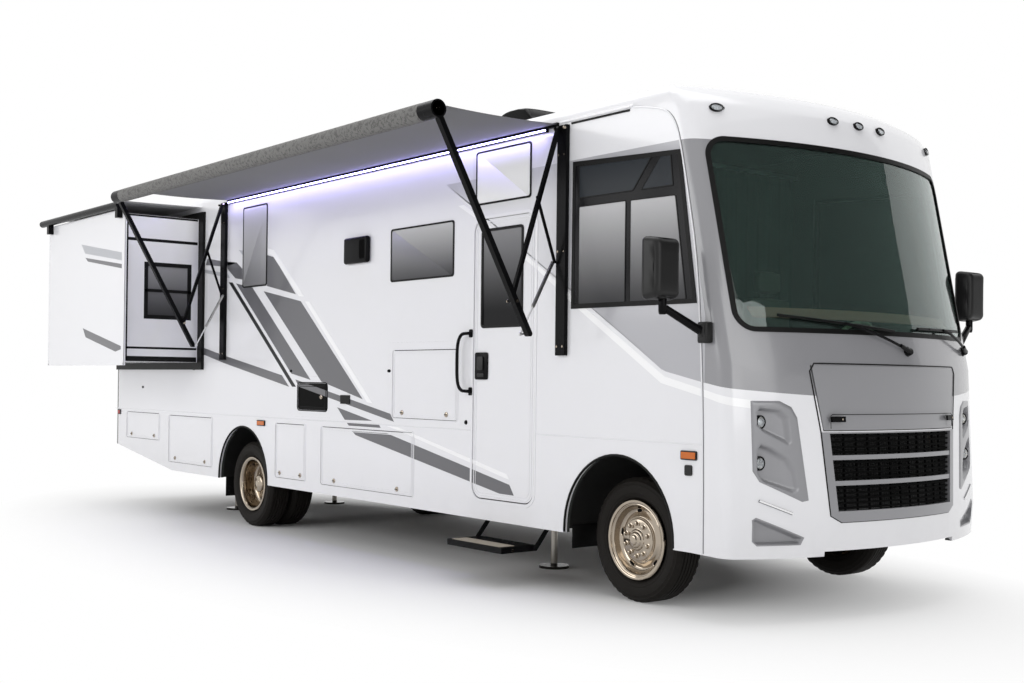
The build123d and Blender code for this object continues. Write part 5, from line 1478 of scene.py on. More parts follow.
def addAwning():
    finishes["canopyCloth"] = makeCloth("canopyCloth", (0.2, 0.2, 0.205), (0.12, 0.12, 0.125), 0.55)
    finishes["rollCloth"] = makeCloth("rollCloth", None, (0.17, 0.168, 0.163), 0.8, mottleScale=42.0,
            speckTone=(0.085, 0.083, 0.08))
    x0, x1 = canopy["x"]
    rollY, rollZ = canopy["roller"]
    edge = (rollY, rollZ + canopy["rollRadius"] + 0.001)
    cloth = addClothGrid("awningCanopy", ((x0, x1), canopy["rail"], edge), (90, 20), canopy["sag"],
            canopy["thick"],
            "coach", "canopyCloth")
    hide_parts("awning_fabric")
    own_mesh(cloth)
    roll = bmesh.new()
    radius = canopy["rollRadius"]
    ends = [(0.03, x0 - 0.02), (radius - 0.006, x0 - 0.02), (radius - 0.002, x0 + 0.01), (radius, x0 + 0.06)]
    spiral = ends + [(radius, x) for x in (-4.5, -3.2, -1.9)] + [(radius, x1 - 0.06),
            (radius - 0.002, x1 - 0.01),
            (radius - 0.006, x1 + 0.02), (0.03, x1 + 0.02)]
    addLathe(roll, spiral, (0, rollY, rollZ), 48, (1, 0, 0))
    bmesh.ops.holes_fill(roll, edges=roll.edges[:])
    newPiece("awningRoll", roll, "awning_outer", "rollCloth", 0.7)
    caps, pins = bmesh.new(), bmesh.new()
    for end, way in ((canopy["tube"][0], 1), (canopy["tube"][1], -1)):
        addLathe(caps, [(0.0, 0.0), (0.046, 0.0), (0.056, 0.01 * way), (0.0578, 0.026 * way),
                (0.0578, 0.085 * way),
                (0.05, 0.092 * way), (0.0, 0.092 * way)], (end, rollY, rollZ), 36, (1, 0, 0))
        addLathe(pins, [(0.0, -0.001 * way), (0.014, -0.001 * way), (0.016, 0.003 * way),
                (0.016, 0.012 * way), (0.0, 0.012 * way)],
                (end, rollY, rollZ), 20, (1, 0, 0))
    newPiece("awningRollCaps", caps, "awning_outer", "satinBlack", 0.7)
    newPiece("awningRollPins", pins, "awning_outer", "chrome", 0.7)


def addArmFittings():
    fixed, moving = bmesh.new(), bmesh.new()
    for mast in canopy["mastX"]:
        for mesh, (y, z) in ((fixed, canopy["pivot"]), (moving, canopy["elbow"])):
            for shift in (-0.049, 0.049):
                addRod(mesh, (mast + shift - 0.004, y, z), (mast + shift + 0.004, y, z), 0.011, 14)
        for z in (1.66, 2.3, 2.95):
            addRod(fixed, (mast - 0.03, -1.3125, z), (mast - 0.03, -1.3165, z), 0.008, 12)
            addRod(fixed, (mast + 0.03, -1.3125, z), (mast + 0.03, -1.3165, z), 0.008, 12)
    newPiece("awningPivotPins", fixed, "coach", "chrome")
    newPiece("awningElbowPins", moving, "awning_inner", "chrome")
    led = bmesh.new()
    addPlate(led, [(-5.64, -1.305, 3.136), (-0.74, -1.305, 3.136), (-0.74, -1.305, 3.147),
            (-5.64, -1.305, 3.147)],
            (0, -0.005, 0))
    newPiece("awningLightStrip", led, "coach", "led")
    holder = bmesh.new()
    addPlate(holder, [(-5.65, -1.283, 3.128), (-0.73, -1.283, 3.128), (-0.73, -1.283, 3.149),
            (-5.65, -1.283, 3.149)],
            (0, -0.0215, 0))
    newPiece("awningLightHolder", holder, "coach", "satinBlack")
    glow = bpy.data.lights.new("awningGlow", "AREA")
    glow.shape = "RECTANGLE"
    glow.size, glow.size_y = 4.9, 0.03
    glow.color = (0.5, 0.45, 1.0)
    glow.energy = 7
    lamp = bpy.data.objects.new("awningGlow", glow)
    scene.collection.objects.link(lamp)
    lamp.location = (-3.19, -1.345, 3.128)
    lamp.rotation_euler = Vector((0, 0.35, -1)).to_track_quat("-Z", "Y").to_euler()


addAwning()
addArmFittings()
print("awning made")


# slide-out room: topper cloth, trims and window
slideLook = {"topper": ((-8.46, -6.29), (-1.2832, 3.16), (-2.125, 3.1485)), "endX": -6.3,
        "rim": 0.04, "flush": 0.00025,
        "window": (-1.876, -1.382, 2.001, 2.567)}


def addSlideTrim():
    finishes["topperCloth"] = makeCloth("topperCloth", (0.62, 0.62, 0.63), (0.72, 0.72, 0.73), 0.0)
    cloth = addClothGrid("slideTopper", slideLook["topper"], (40, 16), 0.001, 0.0016, "coach", "topperCloth")
    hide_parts("slide_topper_fabric")
    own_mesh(cloth)
    endX = slideLook["endX"]
    dark, white = bmesh.new(), bmesh.new()
    for low, high in ((2.77, 2.8), (1.7, 1.722), (1.577, 1.628), (3.012, 3.031)):
        addPlate(dark, [(endX, -2.068, low), (endX, -1.32, low), (endX, -1.32, high), (endX, -2.068, high)],
                (slideLook["flush"], 0, 0))
    addPlate(dark, [(endX, -2.07, 1.58), (endX, -2.04, 1.58), (endX, -2.04, 3.03), (endX, -2.07, 3.03)],
            (slideLook["flush"], 0, 0))
    y0, y1, z0, z1 = slideLook["window"]
    rim = slideLook["rim"]
    for a0, b0, a1, b1 in ((y0, z0, y1, z0 + rim), (y0, z1 - rim, y1, z1), (y0, z0 + rim, y0 + rim, z1 - rim),
            (y1 - rim, z0 + rim, y1, z1 - rim)):
        addBox(dark, (endX - 0.01, a0, b0), (endX + slideLook["flush"], a1, b1))
    addPlate(dark, [(endX - 0.008, y0, 2.27), (endX - 0.008, y1, 2.27), (endX - 0.008, y1, 2.3),
            (endX - 0.008, y0, 2.3)],
            (0.008 + slideLook["flush"], 0, 0))
    newPiece("slideEndTrims", dark, "slide_room", "gasket")
    low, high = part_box("slide_room")
    corners = [(low.x, low.y, low.z), (high.x, low.y, low.z), (high.x, low.y, high.z), (low.x, low.y, high.z)]
    addPlate(white, corners, (0, 0.006, 0), 0.004, 2, 0.022)
    for vert in white.verts:
        vert.co.y -= 0.0015
    newPiece("slideFaceEdge", white, "slide_room", "gelcoat")


addSlideTrim()
print("slide room trimmed")


# walls: doors, hatches, belt, gutters, arches
doorLook = {"ring": 0.0045, "corner": 0.03}


def cornersOf(side, edges, grow=0.0, proud=0.0):
    left, low, right, high = edges
    return [onSide(side, x, z, proud) for x, z in ((left - grow, low - grow), (right + grow, low - grow),
            (right + grow, high + grow), (left - grow, high + grow))]


def addDoorDetails():
    for tag, side in (("right", -1), ("left", 1)):
        for owner, edges in openings[tag]:
            if not owner or owner == "entry_door":
                continue
            left, low, right, high = edges
            dark = owner == "right_utility_hatch"
            rings = bmesh.new()
            for inset in (0.012, 0.026):
                addPlate(rings, cornersOf(side, edges, -inset), (0, side * 0.0022, 0), doorLook["corner"], 5,
                        doorLook["ring"])
            newPiece(owner + "Beads", rings, owner, "satinBlack" if dark else "gelcoat")
            frames = bmesh.new()
            addPlate(frames, cornersOf(side, edges, 0.01), (0, side * 0.003, 0), doorLook["corner"] + 0.01,
                    5, 0.0085)
            newPiece(owner + "Surround", frames, "coach", "satinBlack" if dark else "gelcoat")
            top = bmesh.new()
            addPlate(top, [onSide(side, x, z) for x,
                    z in ((left + 0.03, high - 0.006), (right - 0.03, high - 0.006),
                    (right - 0.03, high - 0.001),
                    (left + 0.03, high - 0.001))],
                    (0, side * 0.0012, 0))
            newPiece(owner + "HingeLine", top, owner, "gasket")
            latches, keys = bmesh.new(), bmesh.new()
            if dark:
                spots = [(right - 0.1, (low + high) / 2)]
            else:
                spots = [(left + (right - left) * share, low + 0.045) for share in (0.16, 0.84)]
            for x, z in spots:
                addLathe(latches, [(0.0, side * 0.009), (0.012, side * 0.0085), (0.019, side * 0.006),
                        (0.021, side * 0.001),
                        (0.021, -side * 0.004), (0.0, -side * 0.004)], onSide(side, x, z), 24)
                addPlate(keys, cornersOf(side, (x - 0.016, z - 0.0035, x + 0.016, z + 0.0035), 0, 0.0075),
                        (0, side * 0.004, 0), 0.003, 3)
            newPiece(owner + "Latches", latches, owner, "chrome")
            newPiece(owner + "Keys", keys, owner, "chrome" if dark else "satinBlack")


def addEntryDoor():
    edges = dict((owner, edges) for owner, edges in openings["right"] if owner)["entry_door"]
    jamb = bmesh.new()
    addPlate(jamb, cornersOf(-1, edges, 0.024), (0, -0.0035, 0), 0.115, 8, 0.021)
    newPiece("entryJamb", jamb, "coach", "gelcoat")
    leaf = bmesh.new()
    addPlate(leaf, cornersOf(-1, edges, -0.018), (0, -0.0028, 0), 0.08, 8, 0.007)
    addPlate(leaf, cornersOf(-1, edges, -0.04), (0, -0.0022, 0), 0.062, 8, 0.004)
    newPiece("entryBeads", leaf, "entry_door", "gelcoat")
    pane = bmesh.new()
    addPlate(pane, cornersOf(-1, (-1.463, 1.824, -1.01, 2.508), 0.018), (0, -0.007, 0), 0.032, 5, 0.02)
    newPiece("entryPaneFrame", pane, "entry_door", "gasket")
    lock, metal = bmesh.new(), bmesh.new()
    addPlate(lock, cornersOf(-1, (-1.541, 1.432, -1.389, 1.63)), (0, -0.012, 0), 0.018, 4)
    bevelSharp(lock, 0.003)
    addPlate(metal, cornersOf(-1, (-1.5, 1.5, -1.43, 1.6), 0, 0.012), (0, -0.012, 0), 0.012, 4)
    addPlate(metal, cornersOf(-1, (-1.505, 1.452, -1.425, 1.478), 0, 0.012), (0, -0.006, 0), 0.006, 3)
    bevelSharp(metal, 0.002)
    newPiece("entryLockBox", lock, "entry_door", "satinBlack")
    newPiece("entryLockPaddle", metal, "entry_door", "blackPlastic")
    bell = bmesh.new()
    addLathe(bell, [(0.0, -0.008), (0.014, -0.007), (0.018, 0.0), (0.0, 0.0)], onSide(-1, -1.655, 1.115), 20)
    newPiece("porchButton", bell, "coach", "satinBlack")
    hinge = bmesh.new()
    addRod(hinge, (-0.85, -1.285, 0.7), (-0.85, -1.285, 2.5), 0.003, 10)
    newPiece("entryHinge", hinge, "coach", "aluminium")
    points = [(-1.6, -1.283, 1.345), (-1.612, -1.318, 1.345), (-1.66, -1.336, 1.35), (-1.7, -1.337, 1.41),
            (-1.706, -1.337, 1.56), (-1.7, -1.337, 1.7), (-1.66, -1.336, 1.765), (-1.612, -1.318, 1.772),
            (-1.6, -1.283, 1.772)]
    tubePiece("grabHandle", points, 0.0125, "coach", "satinBlack")
    feet = bmesh.new()
    for z in (1.345, 1.772):
        addPlate(feet, cornersOf(-1, (-1.622, z - 0.03, -1.578, z + 0.03)), (0, -0.008, 0), 0.012, 4)
    newPiece("grabHandleFeet", feet, "coach", "satinBlack")


def addWallLines():
    belts = bmesh.new()
    for side in (-1, 1):
        spans = ((-8.565, -1.6), (-0.835, 0.74)) if side < 0 else ((-8.565, 0.74),)
        for start, end in spans:
            addRod(belts, onSide(side, start, 1.0592, -0.0015), onSide(side, end, 1.0592, -0.0015), 0.0045,
                   10)
    newPiece("beltMoulding", belts, "coach", "gelcoat")
    gutters = bmesh.new()
    for side in (-1, 1):
        start = -8.5 if side > 0 else -0.6
        addRod(gutters, onSide(side, start, 3.176, -0.004), onSide(side, 0.08, 3.176, -0.004), 0.01, 12)
        addLathe(gutters, [(0.0, 0.016), (0.01, 0.014), (0.015, 0.0), (0.01, -0.014), (0.0, -0.016)],
                onSide(side, 0.088, 3.176, -0.004), 16, (1, 0, 0))
    newPiece("roofGutters", gutters, "coach", "gelcoat")
    # dark strip under each gutter: painted shade below the gutter
    gutterShade = bmesh.new()
    for side in (-1, 1):
        start = -8.5 if side > 0 else -0.49
        corners = [onSide(side, x, z) for x, z in ((start, 3.148), (0.078, 3.148), (0.078, 3.162),
                (start, 3.162))]
        addPlate(gutterShade, corners, (0, side * 0.005, 0))
    newPiece("gutterShadeStrips", gutterShade, "coach", "gasket")
    for side, tag in ((-1, "right"), (1, "left")):
        seam = [onSide(side, x, z) for x, z in ((0.748, 0.412), (0.748, 1.83), (0.538, 2.88), (0.47, 3.06),
                (0.35, 3.135),
                (0.112, 3.167))]
        tubePiece(f"noseSeam_{tag}", seam, 0.006, "coach", "gelcoat")
        # grey line beside the seam bead: painted shade along the bead
        tubePiece(f"noseSeamLine_{tag}", [place + Vector((0.009, 0, 0)) for place in seam], 0.0024, "coach",
                "stripeGrey")
        for x, name in ((-0.008, "front"), (-5.304, "rear")):
            rise = [(x + 0.513 * math.cos(math.pi * step / 28),
                    0.445 + 0.513 * math.sin(math.pi * step / 28)) for step in range(29)]
            path = [(x + 0.513, 0.418)] + rise + [(x - 0.513, 0.418 if name == "front" else 0.432)]
            tubePiece(f"archLip_{name}_{tag}", [onSide(side, px, pz, -0.001) for px, pz in path], 0.0085,
                    "coach", "gasket",
                    straight=True)
    flaps = bmesh.new()
    for side in (-1, 1):
        for x, low, high, near, far in ((-5.85, 0.245, 0.5, 0.76, 1.19), (-0.532, 0.3, 0.46, 0.93, 1.2)):
            y0, y1 = sorted((side * near, side * far))
            addBox(flaps, (x - 0.005, y0, low), (x + 0.005, y1, high))
    bevelSharp(flaps, 0.003)
    newPiece("mudFlaps", flaps, "coach", "gasket")


def addWallFittings():
    trims = nodePiece("wallTrims", "wall_trim", "gasket",
            lambda m: not (-1.7 < m.x < -1.63 and m.y < -1.2) and not (-3.45 < m.x < -2.95 and m.y < -1.2 and m.z > 2.3))
    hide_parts("wall_trim")
    cowl, mouthShade = bmesh.new(), bmesh.new()
    addBox(cowl, (-3.39, -1.3275, 2.388), (-3.017, -1.282, 2.609))
    bevelSharp(cowl, 0.026, 5)
    newPiece("ventCowl", cowl, "coach", "satinBlack", 1.0)
    # dark plate on the cowl's face: painted shade standing in for its open mouth
    addPlate(mouthShade, cornersOf(-1, (-3.13, 2.42, -3.045, 2.58), 0, 0.0452), (0, -0.0008, 0), 0.02, 4)
    newPiece("ventCowlMouthShade", mouthShade, "coach", "holeBlack")
    ovals = bmesh.new()
    for x, z in ((-2.718, 1.494), (-7.768, 1.31), (-6.433, 1.51), (-4.357, 1.492)):
        start = len(ovals.verts)
        addLathe(ovals, [(0.0, -0.006), (0.014, -0.005), (0.018, 0.0), (0.0, 0.0)], (0, 0, 0), 20)
        ovals.verts.ensure_lookup_table()
        bmesh.ops.transform(ovals,
                matrix=Matrix.Translation(onSide(-1, x, z)) @ Matrix.Diagonal((1.5, 1, 0.75, 1)),
                verts=ovals.verts[start:])
    newPiece("wallStuds", ovals, "coach", "satinBlack")


addDoorDetails()
addEntryDoor()
addWallLines()
addWallFittings()
print("walls detailed")


# mirrors and wipers
mirrorLook = {"centre": (0.7, 1.6, 2.09), "half": (0.066, 0.114, 0.186)}


def addMirrors():
    for side, tag in ((-1, "right"), (1, "left")):
        cx, cy, cz = mirrorLook["centre"]
        hx, hy, hz = mirrorLook["half"]
        head = bmesh.new()
        addBox(head, (cx - hx, side * cy - hy, cz - hz), (cx + hx, side * cy + hy, cz + hz))
        bmesh.ops.subdivide_edges(head, edges=head.edges[:], cuts=3, use_grid_fill=True)
        for vert in head.verts:
            away = Vector(((vert.co.x - cx) / hx, (vert.co.y - side * cy) / hy, (vert.co.z - cz) / hz))
            if away.x > -0.9:
                vert.co.y = side * cy + (vert.co.y - side * cy) * (1 - 0.16 * ((away.x + 1) / 2) ** 2)
                vert.co.z = cz + (vert.co.z - cz) * (1 - 0.1 * ((away.x + 1) / 2) ** 2)
        bevelSharp(head, 0.034, 5, 0.9)
        headPiece = newPiece(f"mirrorHead_{tag}", head, "coach", "blackPlastic", 1.2)
        if side < 0:
            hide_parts("mirrors")
        glass = bmesh.new()
        addPlate(glass, [(cx - hx - 0.0005, side * cy + dy, cz + dz) for dy,
                dz in ((-0.09, -0.06), (0.09, -0.06), (0.09, 0.158),
                (-0.09, 0.158))],
                (-0.002, 0, 0), 0.03, 5)
        addPlate(glass, [(cx - hx - 0.0005, side * cy + dy, cz + dz) for dy,
                dz in ((-0.09, -0.16), (0.09, -0.16), (0.09, -0.074),
                (-0.09, -0.074))],
                (-0.002, 0, 0), 0.03, 5)
        newPiece(f"mirrorGlass_{tag}", glass, "coach", "chrome")
        arm = bmesh.new()
        addRod(arm, (0.702, side * 1.59, 1.836), (0.702, side * 1.59, 1.925), 0.025, 24)
        addRod(arm, (0.702, side * 1.59, 1.822), (0.702, side * 1.59, 1.836), 0.02, 24, 0.025)
        addRod(arm, (0.704, side * 1.58, 1.862), (0.778, side * 1.355, 1.735), 0.024, 8, 0.028)
        bevelSharp(arm, 0.004, 2, 0.7)
        newPiece(f"mirrorArm_{tag}", arm, "coach", "satinBlack")
        foot = bmesh.new()
        y0, y1 = sorted((side * 1.2805, side * 1.345))
        addBox(foot, (0.742, y0, 1.662), (0.818, y1, 1.788))
        bevelSharp(foot, 0.012, 3)
        addRod(foot, (0.78, side * 1.335, 1.7), (0.78, side * 1.335, 1.77), 0.024, 20)
        newPiece(f"mirrorFoot_{tag}", foot, "coach", "blackPlastic")


wipers = [  # foot, elbow and blade ends in y, z
    {"foot": (0.107, 1.639), "knee": (-0.3, 1.76), "blade": ((-0.93, 1.838), (-0.02, 1.765))},
    {"foot": (1.079, 1.664), "knee": (0.72, 1.768), "blade": ((0.26, 1.792), (0.96, 1.8))},
]


def addWipers():
    for index, wiper in enumerate(wipers):
        (fy, fz), (ky, kz) = wiper["foot"], wiper["knee"]
        (by0, bz0), (by1, bz1) = wiper["blade"]
        middle = ((by0 + by1) / 2, (bz0 + bz1) / 2)
        foot = bmesh.new()
        addLathe(foot, [(0.0, 0.034), (0.016, 0.034), (0.022, 0.026), (0.026, 0.006), (0.034, 0.0),
                (0.034, -0.03), (0.0, -0.03)],
                onNose(fy, fz, 0.004), 24, (1, 0, 0))
        addRod(foot, onNose(fy, fz, 0.026), onNose(fy + (ky - fy) * 0.3, fz + (kz - fz) * 0.3, 0.046), 0.017,
               14, 0.012)
        newPiece(f"wiperFoot_{index}", foot, "coach", "satinBlack")
        points = [onNose(fy, fz, 0.03), onNose(fy + (ky - fy) * 0.4, fz + (kz - fz) * 0.4, 0.048),
                onNose(ky, kz, 0.05),
                onNose((ky + middle[0]) / 2, (kz + middle[1]) / 2, 0.044), onNose(*middle, 0.034)]
        tubePiece(f"wiperArm_{index}", points, 0.009, "coach", "satinBlack")
        blade = [onNose(by0 + (by1 - by0) * step / 10, bz0 + (bz1 - bz0) * step / 10,
                0.016) for step in range(11)]
        tubePiece(f"wiperBlade_{index}", blade, 0.0095, "coach", "gasket", straight=True)
        spine = [point + Vector((0.012, 0, 0)) for point in blade[2:9]]
        tubePiece(f"wiperSpine_{index}", spine, 0.0045, "coach", "satinBlack", straight=True)


addMirrors()
addWipers()
print("mirrors and wipers made")


# cab behind the windshield: seats, curtain and trim
cabLook = {"seatY": 0.6, "cushion": (-0.325, 0.165, 1.385, 1.498, 0.245),
        "back": (-0.458, -0.335, 1.5, 2.075, 0.235),
        "headrest": (-0.45, -0.345, 2.105, 2.278, 0.128), "curtainX": -0.6, "curtainHalf": 1.15,
        "curtainLow": 1.07, "curtainHigh": 3.05, "pleats": 19, "pleatDepth": 0.034}


def addPad(name, low, high, crown, cuts=6, seams=()):
    # a crowned closed cushion whose sides pull in between its corners, with sewn channels
    low, high = Vector(low), Vector(high)
    middle, half = (low + high) / 2, (high - low) / 2
    mesh = bmesh.new()
    addBox(mesh, low, high)
    bmesh.ops.subdivide_edges(mesh, edges=mesh.edges[:], cuts=cuts, use_grid_fill=True)
    for vert in mesh.verts:
        away = [(vert.co[axis] - middle[axis]) / half[axis] for axis in range(3)]
        for axis in range(3):
            others = [abs(away[other]) for other in range(3) if other != axis]
            share = (1 - others[0] ** 2) * (1 - others[1] ** 2)
            vert.co[axis] = middle[axis] + away[axis] * (half[axis] - crown + crown * share)
        for axis, place, depth in seams:
            near = max(0.0, 1 - abs(away[axis] - place) / 0.09)
            vert.co -= Vector(away) * depth * near
    pad = newPiece(name, mesh, "coach", "leather", 3.0)
    smoothing = pad.modifiers.new("smooth", "SUBSURF")
    smoothing.levels = smoothing.render_levels = 2
    return pad


def addSeats():
    cuts = 12
    for side, tag in ((-1, "right"), (1, "left")):
        middle = side * cabLook["seatY"]
        x0, x1, z0, z1, half = cabLook["cushion"]
        seat = addPad(f"seatCushion_{tag}", (x0, middle - half, z0), (x1, middle + half, z1), 0.016,
                cuts,
                [(1, -0.55, 0.006), (1, 0.55, 0.006), (0, 0.35, 0.004)])
        if side < 0:
            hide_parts("cab_seats")
        x0, x1, z0, z1, half = cabLook["back"]
        addPad(f"seatBack_{tag}", (x0, middle - half, z0), (x1, middle + half, z1), 0.018, cuts,
               [(1, -0.55, 0.006), (1, 0.55, 0.006), (2, 0.4, 0.005), (2, -0.4, 0.005)])
        x0, x1, z0, z1, half = cabLook["headrest"]
        addPad(f"seatHeadrest_{tag}", (x0, middle - half, z0), (x1, middle + half, z1), 0.016, 8)
        frame = bmesh.new()
        addRod(frame, (-0.398, middle - 0.06, 2.03), (-0.398, middle - 0.06, 2.14), 0.007, 12)
        addRod(frame, (-0.398, middle + 0.06, 2.03), (-0.398, middle + 0.06, 2.14), 0.007, 12)
        addBox(frame, (-0.3, middle - 0.215, 1.34), (0.14, middle + 0.215, 1.384))
        addLathe(frame, [(0.0, 0.281), (0.075, 0.281), (0.085, 0.24), (0.085, 0.05), (0.15, 0.02),
                (0.16, 0.0), (0.0, 0.0)],
                (-0.08, middle, 1.0605), 32, (0, 0, 1))
        newPiece(f"seatPedestal_{tag}", frame, "coach", "blackPlastic")
        rests = bmesh.new()
        for edge in (-0.238, 0.238):
            y0, y1 = sorted((middle + edge - 0.024, middle + edge + 0.024))
            addBox(rests, (-0.335, y0, 1.64), (0.02, y1, 1.69))
        bevelSharp(rests, 0.018, 4)
        newPiece(f"seatArmrests_{tag}", rests, "coach", "leather", 1.0)


def addCurtain():
    finishes["curtainCloth"] = makeCloth("curtainCloth", None, (0.03, 0.045, 0.04), 0.0, 0.9)
    x, half = cabLook["curtainX"], cabLook["curtainHalf"]
    low, high = cabLook["curtainLow"], cabLook["curtainHigh"]
    columns, rows = cabLook["pleats"] * 10, 12
    mesh = bmesh.new()
    bmesh.ops.create_grid(mesh, x_segments=columns, y_segments=rows, size=0.5)
    depth, pleats = cabLook["pleatDepth"], cabLook["pleats"]
    for vert in mesh.verts:
        across, up = vert.co.x + 0.5, vert.co.y + 0.5
        swing = math.sin(across * pleats * math.tau + 0.5 * math.sin(across * 11.0) + 0.25 * math.sin(up * 4.0 + across * 23.0))
        gather = depth * (0.45 + 0.55 * (1 - up) ** 0.7)
        drift = 0.006 * math.sin(across * 29.0 + up * 3.0)
        vert.co = Vector((x + swing * gather, (across * 2 - 1) * half + drift * (1 - up),
                low + (high - low) * up))
    bmesh.ops.recalc_face_normals(mesh, faces=mesh.faces)
    width = sum((a - b).length for a, b in
            zip(*(lambda line: (line[1:], line[:-1]))(sorted((vert.co.copy() for vert in mesh.verts
            if abs(vert.co.z - (low + high) / 2) < 0.001),
            key=lambda place: place.y))))
    bmesh.ops.solidify(mesh, geom=mesh.faces[:], thickness=0.0012)
    curtain = newPiece("cabCurtain", mesh, "coach", "curtainCloth", 3.0)
    track = bmesh.new()
    addBox(track, (x - 0.018, -half - 0.02, high + 0.002), (x + 0.018, half + 0.02, high + 0.026))
    bevelSharp(track, 0.004)
    newPiece("curtainTrack", track, "coach", "aluminium")


def addDashLip():
    # pale band that stands inside along the foot of the windshield
    mesh = bmesh.new()
    bmesh.ops.create_grid(mesh, x_segments=40, y_segments=3, size=0.5)
    for vert in mesh.verts:
        y, z = vert.co.x * 2.02, 1.828 + (vert.co.y + 0.5) * 0.062
        vert.co = Vector((noseFront(y, z) - 0.08 - 0.03 * (vert.co.y + 0.5), y, z))
    bmesh.ops.recalc_face_normals(mesh, faces=mesh.faces)
    bmesh.ops.solidify(mesh, geom=mesh.faces[:], thickness=0.006)
    newPiece("dashLip", mesh, "coach", "dashPale")


finishes["dashPale"] = newFinish("dashPale", (0.51, 0.23, 0.18), 0.6, drift=0.2, driftScale=5.0, grain=400.0,
        depth=0.2)
addDashLip()
addCurtain()
addSeats()
print("cab furnished")


# roof unit and its louvres
roofLook = {"cuts": 16, "taper": 0.05, "shoulder": 0.03, "ribs": 7, "deck": 0.62, "rise": (0.1, 0.34),
        "fall": (0.62, 0.78)}


def ramp(value, start, end):
    share = min(1.0, max(0.0, (value - start) / (end - start)))
    return share * share * (3 - 2 * share)


def addRoofUnit():
    low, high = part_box("roof_air_conditioner")
    low, high = low + Vector((0.004, 0.004, 0.0)), high - Vector((0.004, 0.004, 0.004))
    shroud = bmesh.new()
    addBox(shroud, low, high)
    bmesh.ops.subdivide_edges(shroud, edges=shroud.edges[:], cuts=roofLook["cuts"], use_grid_fill=True)
    middle = (low + high) / 2
    for vert in shroud.verts:
        along = (vert.co.x - low.x) / (high.x - low.x)
        across = (vert.co.y - middle.y) / (high.y - middle.y)
        up = (vert.co.z - low.z) / (high.z - low.z)
        tall = roofLook["deck"] + (1 - roofLook["deck"]) * ramp(along,
                *roofLook["rise"]) * (1 - ramp(along,
                *roofLook["fall"]))
        tall *= 1 - roofLook["shoulder"] * across ** 4
        vert.co.z = low.z + (high.z - low.z) * up * tall
        vert.co.y = middle.y + (vert.co.y - middle.y) * (1 - roofLook["taper"] * up ** 1.5)
        vert.co.x = middle.x + (vert.co.x - middle.x) * (1 - 0.07 * up ** 2)
    bevelSharp(shroud, 0.035, 5, 0.7)
    unit = newPiece("roofUnitShroud", shroud, "coach", "acShroud", 1.2)
    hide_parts("roof_air_conditioner")
    ribs = bmesh.new()
    for side in (-1, 1):
        for index in range(roofLook["ribs"]):
            x = low.x + 0.12 + index * 0.052
            y0, y1 = sorted((side * (high.y - 0.022), side * (high.y - 0.008)))
            addBox(ribs, (x, y0, low.z + 0.06), (x + 0.018, y1, low.z + 0.2))
    bevelSharp(ribs, 0.004)
    newPiece("roofUnitRibs", ribs, "coach", "satinBlack")


# entry step: grip plate, end caps and pivot pins
stepLook = {"gripX": (-1.505, -0.935), "gripY": (-1.505, -1.375), "top": 0.285}


def addStepTrim():
    grip = bmesh.new()
    (x0, x1), (y0, y1), top = stepLook["gripX"], stepLook["gripY"], stepLook["top"]
    addPlate(grip, [(x0, y0, top), (x1, y0, top), (x1, y1, top), (x0, y1, top)], (0, 0, 0.0022), 0.01, 3)
    newPiece("stepGripPlate", grip, "step_tread", "tan")
    treads = bmesh.new()
    for index in range(4):
        y = -1.35 + index * 0.03
        addBox(treads, (x0, y, top - 0.0005), (x1, y + 0.012, top + 0.0018))
    newPiece("stepRibs", treads, "step_tread", "satinBlack")
    badges = bmesh.new()
    for x in (-1.5685, -0.8715):
        way = -1 if x < -1.2 else 1
        addRod(badges, (x - way * 0.002, -1.44, 0.264), (x + way * 0.0004, -1.44, 0.264), 0.01, 20)
    newPiece("stepEndCaps", badges, "step_tread", "chrome")
    pins = bmesh.new()
    for x in (-1.56, -0.88):
        for y, z in ((-1.095, 0.445), (-1.15, 0.445)):
            addRod(pins, (x - 0.007, y, z), (x + 0.007, y, z), 0.008, 14)
    newPiece("stepArmPins", pins, "step_arms", "chrome")


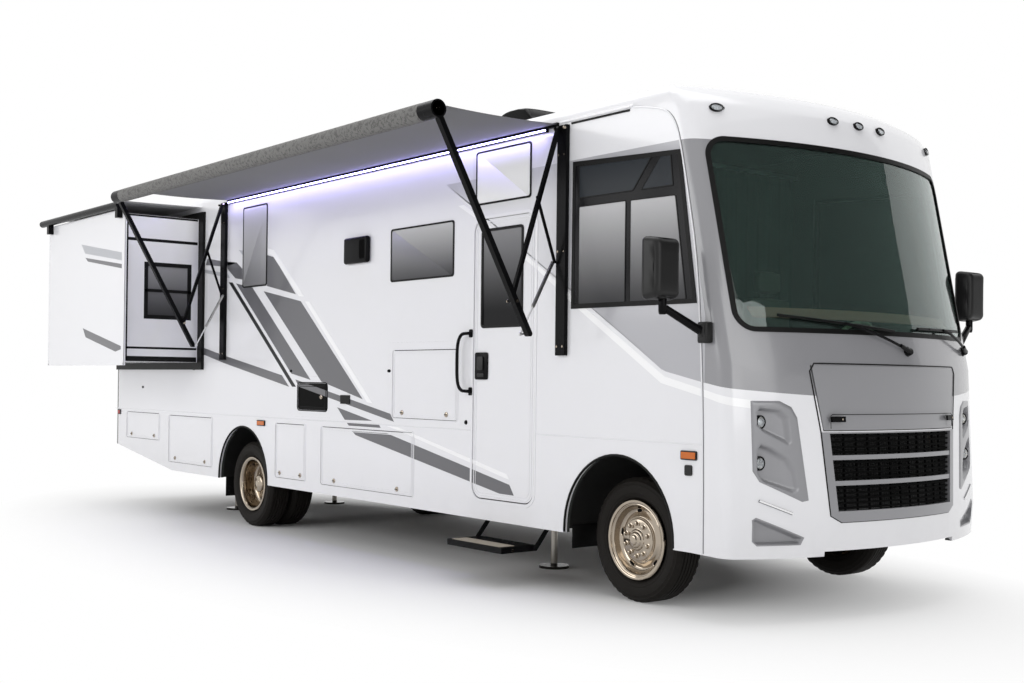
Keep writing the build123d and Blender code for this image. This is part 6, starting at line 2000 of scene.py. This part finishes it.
def paintJackFeet():
    dark = newFinish("jackSteel", (0.32, 0.3, 0.27), 0.22, metallic=1.0, drift=0.25, driftScale=8.0,
            depth=0.05)

    def feet(tree, source):
        x, y, z = objectAxes(tree)
        return addMix(tree, addMath(tree, "LESS_THAN", z, 0.035), source, (0.03, 0.028, 0.026, 1))

    baseColorInto(dark, feet)
    finishes["jackSteel"] = dark
    for name in ("front_jack_legs", "rear_jack_legs"):
        nodes[name].data.materials[0] = dark


# rear wall: ladderless, with blank plate, lamp rims and mouldings, and ribs on the roof vent lid
rearLook = {"lampZ": (0.9, 1.3), "lampY": (0.94, 1.08), "plate": (0.305, 0.152), "plateAt": (0.0, 0.86)}


def addRearTrim():
    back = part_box("rear_wall")[0].x
    rims = bmesh.new()
    (z0, z1), (y0, y1) = rearLook["lampZ"], rearLook["lampY"]
    for side in (-1, 1):
        inner, outer = side * y0, side * y1
        corners = [(back, inner, z0 - 0.012), (back, outer, z0 - 0.012), (back, outer, z1 + 0.012),
                (back, inner, z1 + 0.012)]
        addPlate(rims, corners, (-0.012, 0, 0), 0.02, 4)
    newPiece("tailLampRims", rims, "coach", "blackPlastic")
    width, height = rearLook["plate"]
    y, z = rearLook["plateAt"]
    holder, plate = bmesh.new(), bmesh.new()
    for mesh, grow, depth in ((holder, 0.012, 0.005), (plate, 0.0, 0.008)):
        corners = [(back, y + a * (width / 2 + grow), z + b * (height / 2 + grow)) for a,
                b in ((-1, -1), (1, -1), (1, 1), (-1, 1))]
        addPlate(mesh, corners, (-depth, 0, 0), 0.012, 4)
    newPiece("plateHolder", holder, "coach", "satinBlack")
    newPiece("blankPlate", plate, "coach", "brightWhite")
    seams = bmesh.new()
    for z in (1.062, 2.98):
        addRod(seams, (back - 0.001, -1.12, z), (back - 0.001, 1.12, z), 0.0045, 10)
    newPiece("rearMouldings", seams, "coach", "gelcoat")
    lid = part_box("roof_vent_lid")
    ribs = bmesh.new()
    for index in range(3):
        x = lid[0].x + 0.1 + index * 0.1
        addBox(ribs, (x - 0.008, -0.165, lid[1].z - 0.001), (x + 0.008, 0.165, lid[1].z + 0.004))
    bevelSharp(ribs, 0.002)
    newPiece("roofVentRibs", ribs, "roof_vent_lid", "gelcoat")


addRoofUnit()
addStepTrim()
paintJackFeet()
addRearTrim()
print("roof, step and rear finished")
